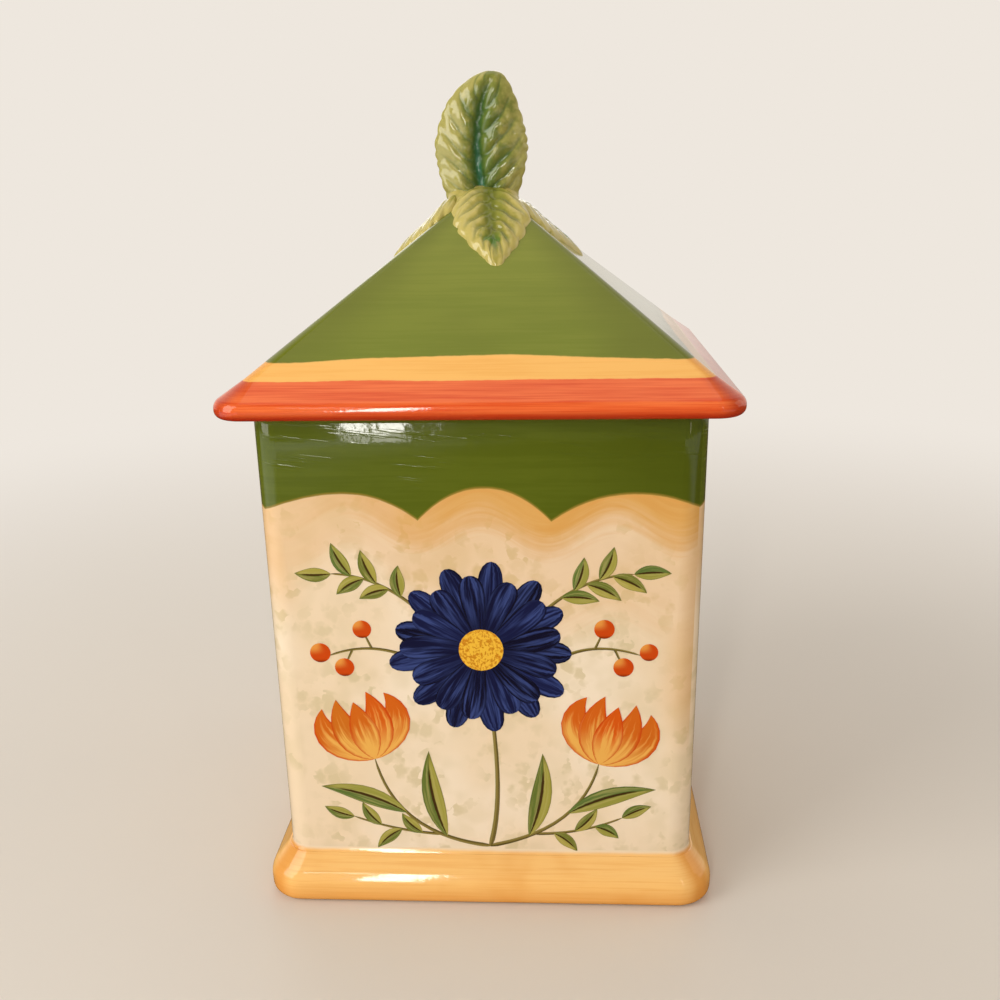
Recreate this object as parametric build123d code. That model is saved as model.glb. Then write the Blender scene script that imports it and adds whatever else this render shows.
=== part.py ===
"""A square glazed-earthenware kitchen canister with a roof-shaped lid and a leaf knob.

Millimetres, +Z up. The origin is the middle of the foot, on the surface that the canister stands on.
The front of the canister faces -Y.
"""

from build123d import *
import math
import os

# Jar: a slip-cast square pot with a little draft, open at the top
JAR_FOOT_WIDTH = 142.0  # outside, at the underside of the floor
JAR_TOP_WIDTH = 144.8  # outside, at the rim
JAR_HEIGHT = 169.5  # from the underside of the floor to the rim
JAR_WALL = 5.5
JAR_FLOOR = 6.0
JAR_CORNER_R = 8.0  # upright corners, outside
JAR_INNER_CORNER_R = 6.0  # upright corners, inside
JAR_FLOOR_FILLET_R = 4.0  # where the walls meet the floor, inside
RIM_OUTER_R = 2.5
RIM_INNER_R = 1.2

# Plinth: the moulded foot ring, with a rebate that the jar is seated in
PLINTH_OVERHANG = 7.8  # how far the nose stands out from the jar's foot
PLINTH_HEIGHT = 16.5
PLINTH_NOSE_HEIGHT = 9.0  # top of the upright nose, before it is rounded
PLINTH_TOP_LAND = 1.2  # width of the top edge beside the jar's wall
PLINTH_UNDERCUT = 0.4  # how far the foot draws in below the nose
PLINTH_CORNER_R = 13.0
PLINTH_NOSE_R = 8.0
PLINTH_TOE_R = 3.2
FOOT_DEPTH = 5.0  # from the table to the underside of the jar's floor
FOOT_LEDGE = 11.0  # how far the ledge reaches in under the jar

# Lid: a hollow pyramid roof with a rounded eave
EAVE_OVERHANG = 10.1  # how far the eave stands out from the jar's rim
EAVE_EDGE_HEIGHT = 5.0  # upright edge of the eave
EAVE_RUN = 9.6  # width of the flared band above that edge
EAVE_RISE = 6.6  # height of the flared band
EAVE_CORNER_R = 10.0
EAVE_UPPER_R = 3.4
EAVE_LOWER_R = 2.6
ROOF_RISE = 57.4  # from the flared band up to where the four slopes would meet
ROOF_WALL = 5.0
ROOF_UNDERSIDE = 5.5  # thickness of the flat ring that rests on the jar's rim
ROOF_HIP_R = 4.0  # hips, at the top of the flared band
ROOF_PEAK_R = 1.6  # hips, at the seat of the knob

# Collar: the square ring under the lid that drops into the jar's mouth
COLLAR_DEPTH = 12.0
COLLAR_WALL = 5.0
COLLAR_GAP = 2.4  # from the collar to the inside of the jar
COLLAR_INNER_CORNER_R = 3.0
COLLAR_TOE_R = 1.5

# Seal: a soft ring with two fins, stretched into a groove round the collar
SEAL_HEIGHT = 6.0
SEAL_GROOVE_DEPTH = 1.0
SEAL_GROOVE_RISE = 3.2  # from the collar's lower edge to the groove
SEAL_FIN_THICKNESS = 1.2
SEAL_BAND_PROUD = 0.5  # how far the band between the fins stands out of the groove
SEAL_CLEARANCE = 0.35  # from the fins to the inside of the jar

# Knob: an upright leaf on a short boss, with a tenon that drops into the peak of the roof
PEAK_SEAT_WIDTH = 16.0  # flat at the peak of the roof
KNOB_BOSS_HEIGHT = 7.0
KNOB_BOSS_TOP_WIDTH = 11.0
KNOB_LEAF_BASE = 2.6  # from the seat to the lower edge of the leaf
KNOB_LEAF_LENGTH = 40.3
KNOB_LEAF_WIDTH = 33.2
KNOB_LEAF_THICKNESS = 9.0
KNOB_LEAF_SWAY = 3.4  # how far the leaf's tip leans to the right of its base
TENON_R = 4.0
TENON_LENGTH = 5.5
TENON_CLEARANCE = 0.15

# Draped leaves: one on each slope, below the knob
DRAPE_LEAF_LENGTH = 35.5
DRAPE_LEAF_WIDTH = 29.0
DRAPE_LEAF_THICKNESS = 3.2
DRAPE_LEAF_SWAY = 4.0  # how far each tip swings to the right, seen from its own side

# What every leaf has
LEAF_TEETH = 8  # on each edge
LEAF_TOOTH_DEPTH = 0.7
LEAF_VEINS = 4  # on each side of the midrib
LEAF_VEIN_ANGLE = 50.0  # from the midrib
MIDRIB_DEPTH = 1.1
VEIN_DEPTH = 0.6


def jar_width_at(z):
    """Outside width of the jar's drafted walls at a height above the table."""
    share = (z - FOOT_DEPTH) / JAR_HEIGHT
    return JAR_FOOT_WIDTH + share * (JAR_TOP_WIDTH - JAR_FOOT_WIDTH)


# Levels and widths that follow from the sizes above
RIM_Z = FOOT_DEPTH + JAR_HEIGHT
JAR_INSIDE_FLOOR_Z = FOOT_DEPTH + JAR_FLOOR
JAR_MOUTH_WIDTH = JAR_TOP_WIDTH - 2 * JAR_WALL
PLINTH_WIDTH = JAR_FOOT_WIDTH + 2 * PLINTH_OVERHANG
EAVE_WIDTH = JAR_TOP_WIDTH + 2 * EAVE_OVERHANG
EAVE_EDGE_Z = RIM_Z + EAVE_EDGE_HEIGHT
SLOPE_Z = EAVE_EDGE_Z + EAVE_RISE
SLOPE_WIDTH = EAVE_WIDTH - 2 * EAVE_RUN
APEX_Z = SLOPE_Z + ROOF_RISE
SLOPE = ROOF_RISE / (SLOPE_WIDTH / 2)
SLOPE_ANGLE = math.degrees(math.atan(SLOPE))
SEAT_Z = APEX_Z - SLOPE * PEAK_SEAT_WIDTH / 2
COLLAR_BOTTOM_Z = RIM_Z - COLLAR_DEPTH
JAR_NECK_WIDTH = min(JAR_MOUTH_WIDTH, jar_width_at(COLLAR_BOTTOM_Z) - 2 * JAR_WALL)
COLLAR_WIDTH = JAR_NECK_WIDTH - 2 * COLLAR_GAP
COLLAR_CORNER_R = JAR_INNER_CORNER_R - COLLAR_GAP
GROOVE_Z = COLLAR_BOTTOM_Z + SEAL_GROOVE_RISE
GROOVE_WIDTH = COLLAR_WIDTH - 2 * SEAL_GROOVE_DEPTH
GROOVE_CORNER_R = COLLAR_CORNER_R - SEAL_GROOVE_DEPTH
LID_MOUTH_WIDTH = COLLAR_WIDTH - 2 * COLLAR_WALL


def square_at(width, corner_r, z):
    """A level square face with rounded corners."""
    return Pos(0, 0, z) * RectangleRounded(width, width, corner_r)


def square_stack(levels):
    """A solid through level rounded squares, each given as (width, corner radius, height)."""
    return loft([square_at(*level) for level in levels], ruled=True)


def square_block(width, corner_r, z_low, z_high):
    """An upright block with rounded corners."""
    return square_stack([(width, corner_r, z_low), (width, corner_r, z_high)])


def edges_at(solid, z):
    """The level edges of a solid at one height."""
    tolerance = 1e-3
    return solid.edges().filter_by_position(Axis.Z, z - tolerance, z + tolerance)


def make_jar_outside():
    """The jar before it is hollowed: also the shape of the plinth's rebate."""
    return square_stack([
        (JAR_FOOT_WIDTH, JAR_CORNER_R, FOOT_DEPTH),
        (JAR_TOP_WIDTH, JAR_CORNER_R, RIM_Z),
    ])


def make_jar():
    """Four walls and a floor, with a rounded rim and a rounded inside floor."""
    hollow = square_stack([
        (jar_width_at(JAR_INSIDE_FLOOR_Z) - 2 * JAR_WALL, JAR_INNER_CORNER_R, JAR_INSIDE_FLOOR_Z),
        (JAR_MOUTH_WIDTH, JAR_INNER_CORNER_R, RIM_Z),
    ])
    hollow = fillet(edges_at(hollow, JAR_INSIDE_FLOOR_Z), JAR_FLOOR_FILLET_R)
    jar = make_jar_outside() - hollow
    rim = jar.faces().sort_by(Axis.Z)[-1]
    jar = fillet(rim.outer_wire().edges(), RIM_OUTER_R)
    rim = jar.faces().sort_by(Axis.Z)[-1]
    return fillet(rim.inner_wires()[0].edges(), RIM_INNER_R)


def make_plinth():
    """A ring with a rounded nose and a sloping shoulder, rebated for the jar and open underneath."""
    top_width = jar_width_at(PLINTH_HEIGHT) + 2 * PLINTH_TOP_LAND
    toe_width = PLINTH_WIDTH - 2 * PLINTH_UNDERCUT
    ring = square_stack([
        (toe_width, PLINTH_CORNER_R - PLINTH_UNDERCUT, 0),
        (PLINTH_WIDTH, PLINTH_CORNER_R, PLINTH_NOSE_HEIGHT),
        (top_width, JAR_CORNER_R + PLINTH_TOP_LAND, PLINTH_HEIGHT),
    ])
    ring = fillet(edges_at(ring, PLINTH_NOSE_HEIGHT), PLINTH_NOSE_R)
    ring = fillet(edges_at(ring, 0), PLINTH_TOE_R)
    recess = square_block(JAR_FOOT_WIDTH - 2 * FOOT_LEDGE, JAR_CORNER_R, 0, FOOT_DEPTH)
    return ring - recess - make_jar_outside()


def make_roof():
    """A hollow pyramid with a rounded eave, a flat ring underneath and a bored flat at the peak."""
    roof = square_stack([
        (EAVE_WIDTH, EAVE_CORNER_R, RIM_Z),
        (EAVE_WIDTH, EAVE_CORNER_R, EAVE_EDGE_Z),
        (SLOPE_WIDTH, ROOF_HIP_R, SLOPE_Z),
        (PEAK_SEAT_WIDTH, ROOF_PEAK_R, SEAT_Z),
    ])
    roof = fillet(edges_at(roof, EAVE_EDGE_Z), EAVE_UPPER_R)
    roof = fillet(edges_at(roof, RIM_Z), EAVE_LOWER_R)
    # The hollow's slopes lie one wall thickness inside the roof's slopes
    inset = ROOF_WALL / math.sin(math.radians(SLOPE_ANGLE))
    hollow_floor_z = RIM_Z + ROOF_UNDERSIDE
    hollow_width = 2 * ((APEX_Z - hollow_floor_z) / SLOPE - inset)
    hollow_top_z = SEAT_Z - ROOF_WALL - SLOPE * inset / 2
    hollow_top_width = 2 * ((APEX_Z - hollow_top_z) / SLOPE - inset)
    hollow = square_stack([
        (hollow_width, ROOF_HIP_R, hollow_floor_z),
        (hollow_top_width, ROOF_PEAK_R, hollow_top_z),
    ])
    mouth = square_block(LID_MOUTH_WIDTH, COLLAR_INNER_CORNER_R, RIM_Z, hollow_floor_z)
    bore_depth = SEAT_Z - hollow_top_z
    bore = Pos(0, 0, SEAT_Z - bore_depth / 2) * Cylinder(TENON_R + TENON_CLEARANCE, bore_depth)
    return roof - hollow - mouth - bore


def make_collar():
    """The square ring under the lid, grooved for the seal."""
    ring = square_block(COLLAR_WIDTH, COLLAR_CORNER_R, COLLAR_BOTTOM_Z, RIM_Z)
    ring = fillet(edges_at(ring, COLLAR_BOTTOM_Z), COLLAR_TOE_R)
    mouth = square_block(LID_MOUTH_WIDTH, COLLAR_INNER_CORNER_R, COLLAR_BOTTOM_Z, RIM_Z)
    groove_top_z = GROOVE_Z + SEAL_HEIGHT
    groove = square_block(COLLAR_WIDTH + COLLAR_GAP, JAR_INNER_CORNER_R, GROOVE_Z, groove_top_z)
    groove -= square_block(GROOVE_WIDTH, GROOVE_CORNER_R, GROOVE_Z, groove_top_z)
    return ring - mouth - groove


def make_seal():
    """A soft band that fills the collar's groove, with a fin along each edge."""
    fin_reach = COLLAR_GAP - SEAL_CLEARANCE
    seal_top_z = GROOVE_Z + SEAL_HEIGHT

    def ring(proud, z_low, z_high):
        width = COLLAR_WIDTH + 2 * proud
        return square_block(width, COLLAR_CORNER_R + proud, z_low, z_high)

    band = ring(SEAL_BAND_PROUD, GROOVE_Z, seal_top_z)
    lower_fin = ring(fin_reach, GROOVE_Z, GROOVE_Z + SEAL_FIN_THICKNESS)
    upper_fin = ring(fin_reach, seal_top_z - SEAL_FIN_THICKNESS, seal_top_z)
    inside = square_block(GROOVE_WIDTH, GROOVE_CORNER_R, GROOVE_Z, seal_top_z)
    return band + lower_fin + upper_fin - inside


def leaf_half_width(share, widest):
    """Half the width of a leaf of width 2, at a share of its length from base to tip."""
    base_narrowing, shoulder, point = 0.17, 1.8, 0.6
    if share < widest:
        return 1 - base_narrowing * ((widest - share) / widest) ** 2
    return (1 - ((share - widest) / (1 - widest)) ** shoulder) ** point


def leaf_outline(length, width, sway, widest):
    """Points round a toothed leaf, base at the origin and tip near (sway, length)."""
    right, left = [], []
    steps = 2 * LEAF_TEETH
    for step in range(steps):
        share = step / steps
        tooth = LEAF_TOOTH_DEPTH if step % 2 else 0
        half = width / 2 * leaf_half_width(share, widest) - tooth
        middle = sway * share**2
        right.append((middle + half, share * length))
        left.append((middle - half, share * length))
    return [*right, (sway, length), *reversed(left)]


def leaf_section(plane, outline, length, sway, size, lift):
    """A leaf outline drawn in towards its middle and lifted off a plane."""
    middle_x, middle_y = sway / 4, length / 2
    drawn_in = [
        (middle_x + size * (x - middle_x), middle_y + size * (y - middle_y)) for x, y in outline
    ]
    edge = Polyline(*drawn_in, close=True)
    return plane.offset(lift) * make_face(edge)


def leaf_grooves(plane, length, width, sway, lift):
    """V-shaped bars along the midrib and the side veins, to be cut from a leaf's face."""

    def bar(start, end, depth):
        run = Vector(end[0] - start[0], end[1] - start[1])
        angle = math.degrees(math.atan2(run.Y, run.X))
        middle = ((start[0] + end[0]) / 2, (start[1] + end[1]) / 2)
        side = depth * math.sqrt(2)
        place = plane.offset(lift) * Pos(*middle, 0) * Rot(0, 0, angle) * Rot(45, 0, 0)
        return place * Box(run.length, side, side)

    reach = width / 4
    margin = length / 10
    bars = [bar((0, margin), (sway / 2, length - margin), MIDRIB_DEPTH)]
    rise = reach / math.tan(math.radians(LEAF_VEIN_ANGLE))
    for vein in range(LEAF_VEINS):
        share = (vein + 0.6) / (LEAF_VEINS + 0.8)
        root = (sway * share**2 / 2, share * length)
        for side in (-1, 1):
            bars.append(bar(root, (root[0] + side * reach, root[1] + rise), VEIN_DEPTH))
    return bars


def make_knob():
    """An upright leaf, domed on both faces, on a square boss with a tenon below."""
    widest = 0.34
    base = (-KNOB_LEAF_SWAY / 2, 0, SEAT_Z + KNOB_LEAF_BASE)
    face = Plane(origin=base, x_dir=(1, 0, 0), z_dir=(0, -1, 0))
    outline = leaf_outline(KNOB_LEAF_LENGTH, KNOB_LEAF_WIDTH, KNOB_LEAF_SWAY, widest)
    # Each section is (how far it is drawn in, share of half the thickness)
    dome = [(0.66, -1.0), (0.9, -0.62), (1.0, 0.0), (0.9, 0.62), (0.66, 1.0)]
    half = KNOB_LEAF_THICKNESS / 2
    sections = [
        leaf_section(face, outline, KNOB_LEAF_LENGTH, KNOB_LEAF_SWAY, size, share * half)
        for size, share in dome
    ]
    leaf = loft(sections, ruled=True)
    for lift in (half, -half):
        for bar in leaf_grooves(face, KNOB_LEAF_LENGTH, KNOB_LEAF_WIDTH, KNOB_LEAF_SWAY, lift):
            leaf -= bar
    boss = square_stack([
        (PEAK_SEAT_WIDTH, ROOF_PEAK_R, SEAT_Z),
        (KNOB_BOSS_TOP_WIDTH, ROOF_PEAK_R, SEAT_Z + KNOB_BOSS_HEIGHT),
    ])
    tenon = Pos(0, 0, SEAT_Z - TENON_LENGTH / 2) * Cylinder(TENON_R, TENON_LENGTH)
    return leaf + boss + tenon


def make_draped_leaf(turn, boss):
    """A leaf that hangs down one slope of the roof, mitred along the hips where it meets its neighbours."""
    widest = 0.28
    normal = (0, -math.sin(math.radians(SLOPE_ANGLE)), math.cos(math.radians(SLOPE_ANGLE)))
    # The leaf's base is at the edge of the seat, and its length runs down the slope
    base = (0, -PEAK_SEAT_WIDTH / 2, SEAT_Z)
    face = Plane(origin=base, x_dir=(-1, 0, 0), z_dir=normal)
    sway = -DRAPE_LEAF_SWAY
    outline = leaf_outline(DRAPE_LEAF_LENGTH, DRAPE_LEAF_WIDTH, sway, widest)
    dome = [(1.0, 0.0), (0.93, 0.6), (0.72, 1.0)]
    sections = [
        leaf_section(face, outline, DRAPE_LEAF_LENGTH, sway, size, share * DRAPE_LEAF_THICKNESS)
        for size, share in dome
    ]
    leaf = loft(sections, ruled=True)
    for bar in leaf_grooves(face, DRAPE_LEAF_LENGTH, DRAPE_LEAF_WIDTH, sway, DRAPE_LEAF_THICKNESS):
        leaf -= bar
    # The slope between two hips, as an upright wedge
    reach = SLOPE_WIDTH / 2
    wedge = make_face(Polyline((0, 0), (-reach, -reach), (reach, -reach), close=True))
    leaf &= extrude(wedge, APEX_Z)
    leaf -= boss
    return Rot(0, 0, turn) * leaf


def main():
    os.makedirs("parts", exist_ok=True)
    knob = make_knob()
    pieces = {
        "base_plinth": make_plinth(),
        "jar_body": make_jar(),
        "lid_roof": make_roof(),
        "lid_collar": make_collar(),
        "lid_seal": make_seal(),
        "knob_leaf": knob,
    }
    for name, turn in (("front", 0), ("right", 90), ("back", 180), ("left", 270)):
        pieces[f"draped_leaf_{name}"] = make_draped_leaf(turn, knob)
    for name, piece in pieces.items():
        export_step(piece, f"parts/{name}.step")
        print(name, "solids", len(piece.solids()), "volume", round(piece.volume))


main()
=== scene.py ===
# %% [markdown]
# # A hand-painted ceramic canister
# The real object is a square earthenware jar on a moulded plinth. Its lid is a hollow pyramid, like a
# little roof, with an upright leaf for a knob and four leaves draped over the slopes. Everything is
# brushed with coloured slips and covered with one clear, glossy glaze. The packed frame already has the
# plain cast forms at their real size, so those keep their own meshes here and get painted glazes. The
# leaves are sculpted anew, and the flowers on the walls are laid on stroke by stroke.

# %% Load the frame
import math
import random

import bmesh
import bpy
from mathutils import Matrix, Vector, noise
from mathutils.bvhtree import BVHTree


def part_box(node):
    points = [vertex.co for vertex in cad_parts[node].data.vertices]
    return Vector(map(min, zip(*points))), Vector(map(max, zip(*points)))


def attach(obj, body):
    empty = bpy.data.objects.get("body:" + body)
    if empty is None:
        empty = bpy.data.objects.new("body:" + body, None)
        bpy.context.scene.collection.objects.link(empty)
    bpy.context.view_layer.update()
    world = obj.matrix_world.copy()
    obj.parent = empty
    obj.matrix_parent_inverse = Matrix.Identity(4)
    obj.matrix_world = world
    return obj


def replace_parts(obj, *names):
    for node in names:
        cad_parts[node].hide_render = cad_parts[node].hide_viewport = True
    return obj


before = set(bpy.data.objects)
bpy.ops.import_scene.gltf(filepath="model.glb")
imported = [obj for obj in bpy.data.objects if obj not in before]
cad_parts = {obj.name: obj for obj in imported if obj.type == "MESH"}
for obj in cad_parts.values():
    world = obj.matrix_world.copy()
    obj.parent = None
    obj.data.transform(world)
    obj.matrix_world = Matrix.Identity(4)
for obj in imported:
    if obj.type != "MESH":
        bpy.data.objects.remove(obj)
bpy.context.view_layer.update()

MM = 0.001

# %% [markdown]
# ## The camera
# The photograph was taken from close by, about as high as the peak of the lid and an inch to the right of
# the middle. A camera could be pointed with a Track To constraint, but the photograph also has a slight
# tilt, so the three turns are written out: yaw about the upright, pitch below the horizon, and roll.

# %% Camera
CAMERA_PLACE = Vector((25.3, -405.1, 246.9)) * MM
CAMERA_YAW = math.radians(3.22)
CAMERA_PITCH = math.radians(-16.71)
CAMERA_ROLL = math.radians(-1.04)
CAMERA_LENS = 39.48  # millimetres, on Blender's 36 mm sensor

camera = bpy.data.objects.new("photo_camera", bpy.data.cameras.new("photo_camera"))
camera.data.lens = CAMERA_LENS
camera.data.clip_start = 0.01
turn = Matrix.Rotation(CAMERA_YAW, 4, "Z")
turn @= Matrix.Rotation(math.pi / 2 + CAMERA_PITCH, 4, "X")
turn @= Matrix.Rotation(CAMERA_ROLL, 4, "Z")
camera.matrix_world = Matrix.Translation(CAMERA_PLACE) @ turn
bpy.context.scene.collection.objects.link(camera)
bpy.context.scene.camera = camera
bpy.context.scene.view_settings.view_transform = "Standard"
print("camera:", round(camera.location.length, 3), "m from the foot of the canister")

# %% [markdown]
# ## Colours
# A painter reads a colour from 0 to 255, as it looks on a screen. Blender's sockets want linear light,
# where half as much light is half the number. The colours could be typed in that way, but nobody can
# picture them then, so a small function turns the painter's numbers into Blender's.

# %% Colours
def linear_light(shade):
    """One channel of a colour, 0 to 255, as a share of linear light."""
    return shade / 255 / 12.92 if shade < 10.3 else ((shade / 255 + 0.055) / 1.055) ** 2.4


def paint(red, green, blue):
    """A colour as a painter reads it, 0 to 255, turned into the linear values that Blender works with."""
    return (linear_light(red), linear_light(green), linear_light(blue), 1.0)


print("middle grey, 128 of 255, is", round(linear_light(128), 3), "of full light")

# %% [markdown]
# ## Writing materials
# A painted glaze has many layers, so its node tree gets long. The tree could be wired node by node, but
# the same few steps come back all the time: mix two colours, add two numbers, make some noise. The class
# below wraps each step as one call that returns the socket it made, so that a material reads like a
# recipe.

# %% Node recipes
class Recipe:
    """Writes one node tree, step by step. Each method returns the socket that it made."""

    def __init__(self, tree):
        self.tree = tree

    def feed(self, socket, value):
        if isinstance(value, bpy.types.NodeSocket):
            self.tree.links.new(value, socket)
        else:
            socket.default_value = value

    def node(self, kind, inputs, **settings):
        made = self.tree.nodes.new(kind)
        for name, value in settings.items():
            setattr(made, name, value)
        for name, value in inputs.items():
            self.feed(made.inputs[name], value)
        return made

    def math(self, operation, first, second=0.0):
        return self.node("ShaderNodeMath", {0: first, 1: second}, operation=operation).outputs[0]

    def mix(self, share, first, second):
        made = self.node("ShaderNodeMix", {0: share, 6: first, 7: second}, data_type="RGBA")
        return made.outputs[2]

    def fade(self, value, low, high, start=0.0, end=1.0):
        """Goes from start to end while value goes from low to high, gently at both ends."""
        inputs = {0: value, 1: low, 2: high, 3: start, 4: end}
        return self.node("ShaderNodeMapRange", inputs, interpolation_type="SMOOTHSTEP").outputs[0]

    def scaled(self, vector, x, y, z):
        made = self.node("ShaderNodeVectorMath", {0: vector, 1: (x, y, z)}, operation="MULTIPLY")
        return made.outputs[0]

    def moved(self, vector, x, y, z):
        made = self.node("ShaderNodeVectorMath", {0: vector, 1: (x, y, z)}, operation="ADD")
        return made.outputs[0]

    def noise(self, vector, scale, detail=2.0, roughness=0.5):
        inputs = {"Vector": vector, "Scale": scale, "Detail": detail, "Roughness": roughness}
        return self.node("ShaderNodeTexNoise", inputs).outputs[0]

    def split(self, vector):
        return self.node("ShaderNodeSeparateXYZ", {0: vector}).outputs

    def joined(self, x, y, z):
        return self.node("ShaderNodeCombineXYZ", {0: x, 1: y, 2: z}).outputs[0]

    def attribute(self, name):
        return self.node("ShaderNodeAttribute", {}, attribute_name=name).outputs["Fac"]

    def use(self, group, **inputs):
        named = {name.capitalize(): value for name, value in inputs.items()}
        return self.node("ShaderNodeGroup", named, node_tree=group).outputs


print("recipe steps:", ", ".join(step for step in vars(Recipe) if not step.startswith("_")))

# %% [markdown]
# ## Empty node groups
# An effect that several glazes share belongs in a node group: a small tree with inputs and outputs of its
# own. In the editor the sockets are added by hand in the sidebar. Here the group's interface makes and
# names them, so that a material can fill them in by name.

# %% New node groups
SOCKET_KINDS = {"number": "NodeSocketFloat", "vector": "NodeSocketVector"}


def new_group(name, takes, gives):
    """An empty shader node group with named sockets, its recipe, and its input and output sockets."""
    group = bpy.data.node_groups.new(name, "ShaderNodeTree")
    for socket, kind in takes.items():
        group.interface.new_socket(socket, in_out="INPUT", socket_type=SOCKET_KINDS[kind])
    for socket, kind in gives.items():
        group.interface.new_socket(socket, in_out="OUTPUT", socket_type=SOCKET_KINDS[kind])
    taken = group.nodes.new("NodeGroupInput").outputs
    given = group.nodes.new("NodeGroupOutput").inputs
    return group, Recipe(group), taken, given


print("a group's sockets can be:", ", ".join(SOCKET_KINDS))

# %% [markdown]
# ## Brush strokes
# A brush loaded with slip leaves long streaks, dark where the hairs pressed and pale where they ran dry.
# A wave texture would be too even, so two noises are stretched along the stroke, one for the streaks and
# a finer one for the hairs. They make a node group, because every painted glaze uses them with its own
# length and width.

# %% Brush strokes
def make_brush_strokes():
    """Streaks that run level round the object: 0 where the slip is thin, 1 where it is thick."""
    takes = {"Position": "vector", "Length": "number", "Width": "number"}
    group, recipe, taken, given = new_group("brush_strokes", takes, {"Strokes": "number"})
    x, y, z = recipe.split(taken["Position"])
    flat_x = recipe.math("DIVIDE", x, taken["Length"])
    flat_y = recipe.math("DIVIDE", y, taken["Length"])
    tall_z = recipe.math("DIVIDE", z, taken["Width"])
    streaks = recipe.noise(recipe.joined(flat_x, flat_y, tall_z), 1.0, 3.0, 0.6)
    hairs = recipe.noise(recipe.joined(flat_x, flat_y, recipe.math("MULTIPLY", tall_z, 4.0)), 1.0, 2.0)
    both = recipe.math("ADD", recipe.math("MULTIPLY", streaks, 0.65), recipe.math("MULTIPLY", hairs, 0.35))
    recipe.feed(given["Strokes"], recipe.fade(both, 0.32, 0.68))
    return group


BRUSH_STROKES = make_brush_strokes()
print("group", BRUSH_STROKES.name, "has", len(BRUSH_STROKES.nodes), "nodes")

# %% [markdown]
# ## Ripples and wandering lines
# The glaze is never quite flat: it has a slow swell and a fine orange peel, and both break up
# reflections. A painted border wanders, because a hand drew it. Both are noise at two sizes, so each is a
# small group: one puts out a height for a bump, and the other how far a line strays.

# %% Ripples and wandering lines
def make_glaze_ripple():
    """The height of the glaze: a slow swell with a fine orange peel on it."""
    takes = {"Position": "vector", "Swell": "number", "Peel": "number"}
    group, recipe, taken, given = new_group("glaze_ripple", takes, {"Height": "number"})
    swell = recipe.math("MULTIPLY", recipe.noise(taken["Position"], 0.03, 1.0), taken["Swell"])
    peel = recipe.math("MULTIPLY", recipe.noise(taken["Position"], 0.4, 2.0), taken["Peel"])
    recipe.feed(given["Height"], recipe.math("ADD", swell, peel))
    return group


def make_hand_line():
    """How far a painted border strays from where it should run, in millimetres."""
    takes = {"Position": "vector", "Wander": "number"}
    group, recipe, taken, given = new_group("hand_line", takes, {"Stray": "number"})
    slow = recipe.math("SUBTRACT", recipe.noise(taken["Position"], 0.03, 1.0), 0.5)
    quick = recipe.math("SUBTRACT", recipe.noise(taken["Position"], 0.3, 2.0), 0.5)
    both = recipe.math("ADD", recipe.math("MULTIPLY", slow, 3.0), recipe.math("MULTIPLY", quick, 0.7))
    recipe.feed(given["Stray"], recipe.math("MULTIPLY", both, taken["Wander"]))
    return group


GLAZE_RIPPLE = make_glaze_ripple()
HAND_LINE = make_hand_line()
print("groups", GLAZE_RIPPLE.name, "and", HAND_LINE.name, "made")

# %% [markdown]
# ## The sides of a square pot
# The paint runs round the pot side after side. A UV map could say where a point lies, but the cast meshes
# have none, so the point itself has to: the larger of its two distances from the axis is how far out it
# lies, and the other is how far along its side.

# %% Sides of a square pot
def make_square_sides():
    """Where a point lies on a square pot: along its own side, out from the axis, and how near a corner."""
    gives = {"Along": "number", "Out": "number", "Height": "number", "Corner": "number"}
    group, recipe, taken, given = new_group("square_sides", {"Position": "vector"}, gives)
    x, y, z = recipe.split(taken["Position"])
    size_x, size_y = recipe.math("ABSOLUTE", x), recipe.math("ABSOLUTE", y)
    faces_y = recipe.math("GREATER_THAN", size_y, size_x)
    along_front = recipe.math("MULTIPLY", x, faces_y)
    along_side = recipe.math("MULTIPLY", y, recipe.math("SUBTRACT", 1.0, faces_y))
    out = recipe.math("MAXIMUM", size_x, size_y)
    recipe.feed(given["Along"], recipe.math("ADD", along_front, along_side))
    recipe.feed(given["Out"], out)
    recipe.feed(given["Height"], z)
    recipe.feed(given["Corner"], recipe.math("DIVIDE", recipe.math("MINIMUM", size_x, size_y), out))
    return group


SQUARE_SIDES = make_square_sides()
print("groups:", ", ".join(sorted(group.name for group in bpy.data.node_groups)))

# %% [markdown]
# ## What glazed clay is made of
# Under the glaze the slip is matt, and the glaze adds one sharp, colourless reflection. That is what the
# Principled shader does by itself with a low roughness, so no coat is needed, and the ripple bends the
# same reflection. Every glaze here starts from this function, which gives back the material, its recipe,
# its shader and the point on the object in millimetres.

# %% The glaze that every ceramic piece has
GLAZE_ROUGHNESS = 0.07
GLAZE_INDEX = 1.5
IVORY = paint(236, 224, 200)
IVORY_THIN = paint(222, 202, 166)
BISCUIT = paint(214, 190, 156)


def start_glaze(name, swell=0.35, peel=0.03):
    material = bpy.data.materials.new(name)
    material.use_nodes = True
    shader = material.node_tree.nodes["Principled BSDF"]
    shader.inputs["Roughness"].default_value = GLAZE_ROUGHNESS
    shader.inputs["IOR"].default_value = GLAZE_INDEX
    recipe = Recipe(material.node_tree)
    place = recipe.node("ShaderNodeTexCoord", {}).outputs["Object"]
    position = recipe.scaled(place, 1 / MM, 1 / MM, 1 / MM)
    height = recipe.use(GLAZE_RIPPLE, position=position, swell=swell, peel=peel)["Height"]
    bump = recipe.node("ShaderNodeBump", {"Height": height, "Strength": 1.0, "Distance": MM})
    recipe.feed(shader.inputs["Normal"], bump.outputs[0])
    return material, recipe, shader, position


def ivory_slip(recipe, position):
    """The pale slip inside the jar and under the lid, a little thinner in places."""
    return recipe.mix(recipe.fade(recipe.noise(position, 0.05, 3.0), 0.45, 0.7), IVORY, IVORY_THIN)


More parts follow.
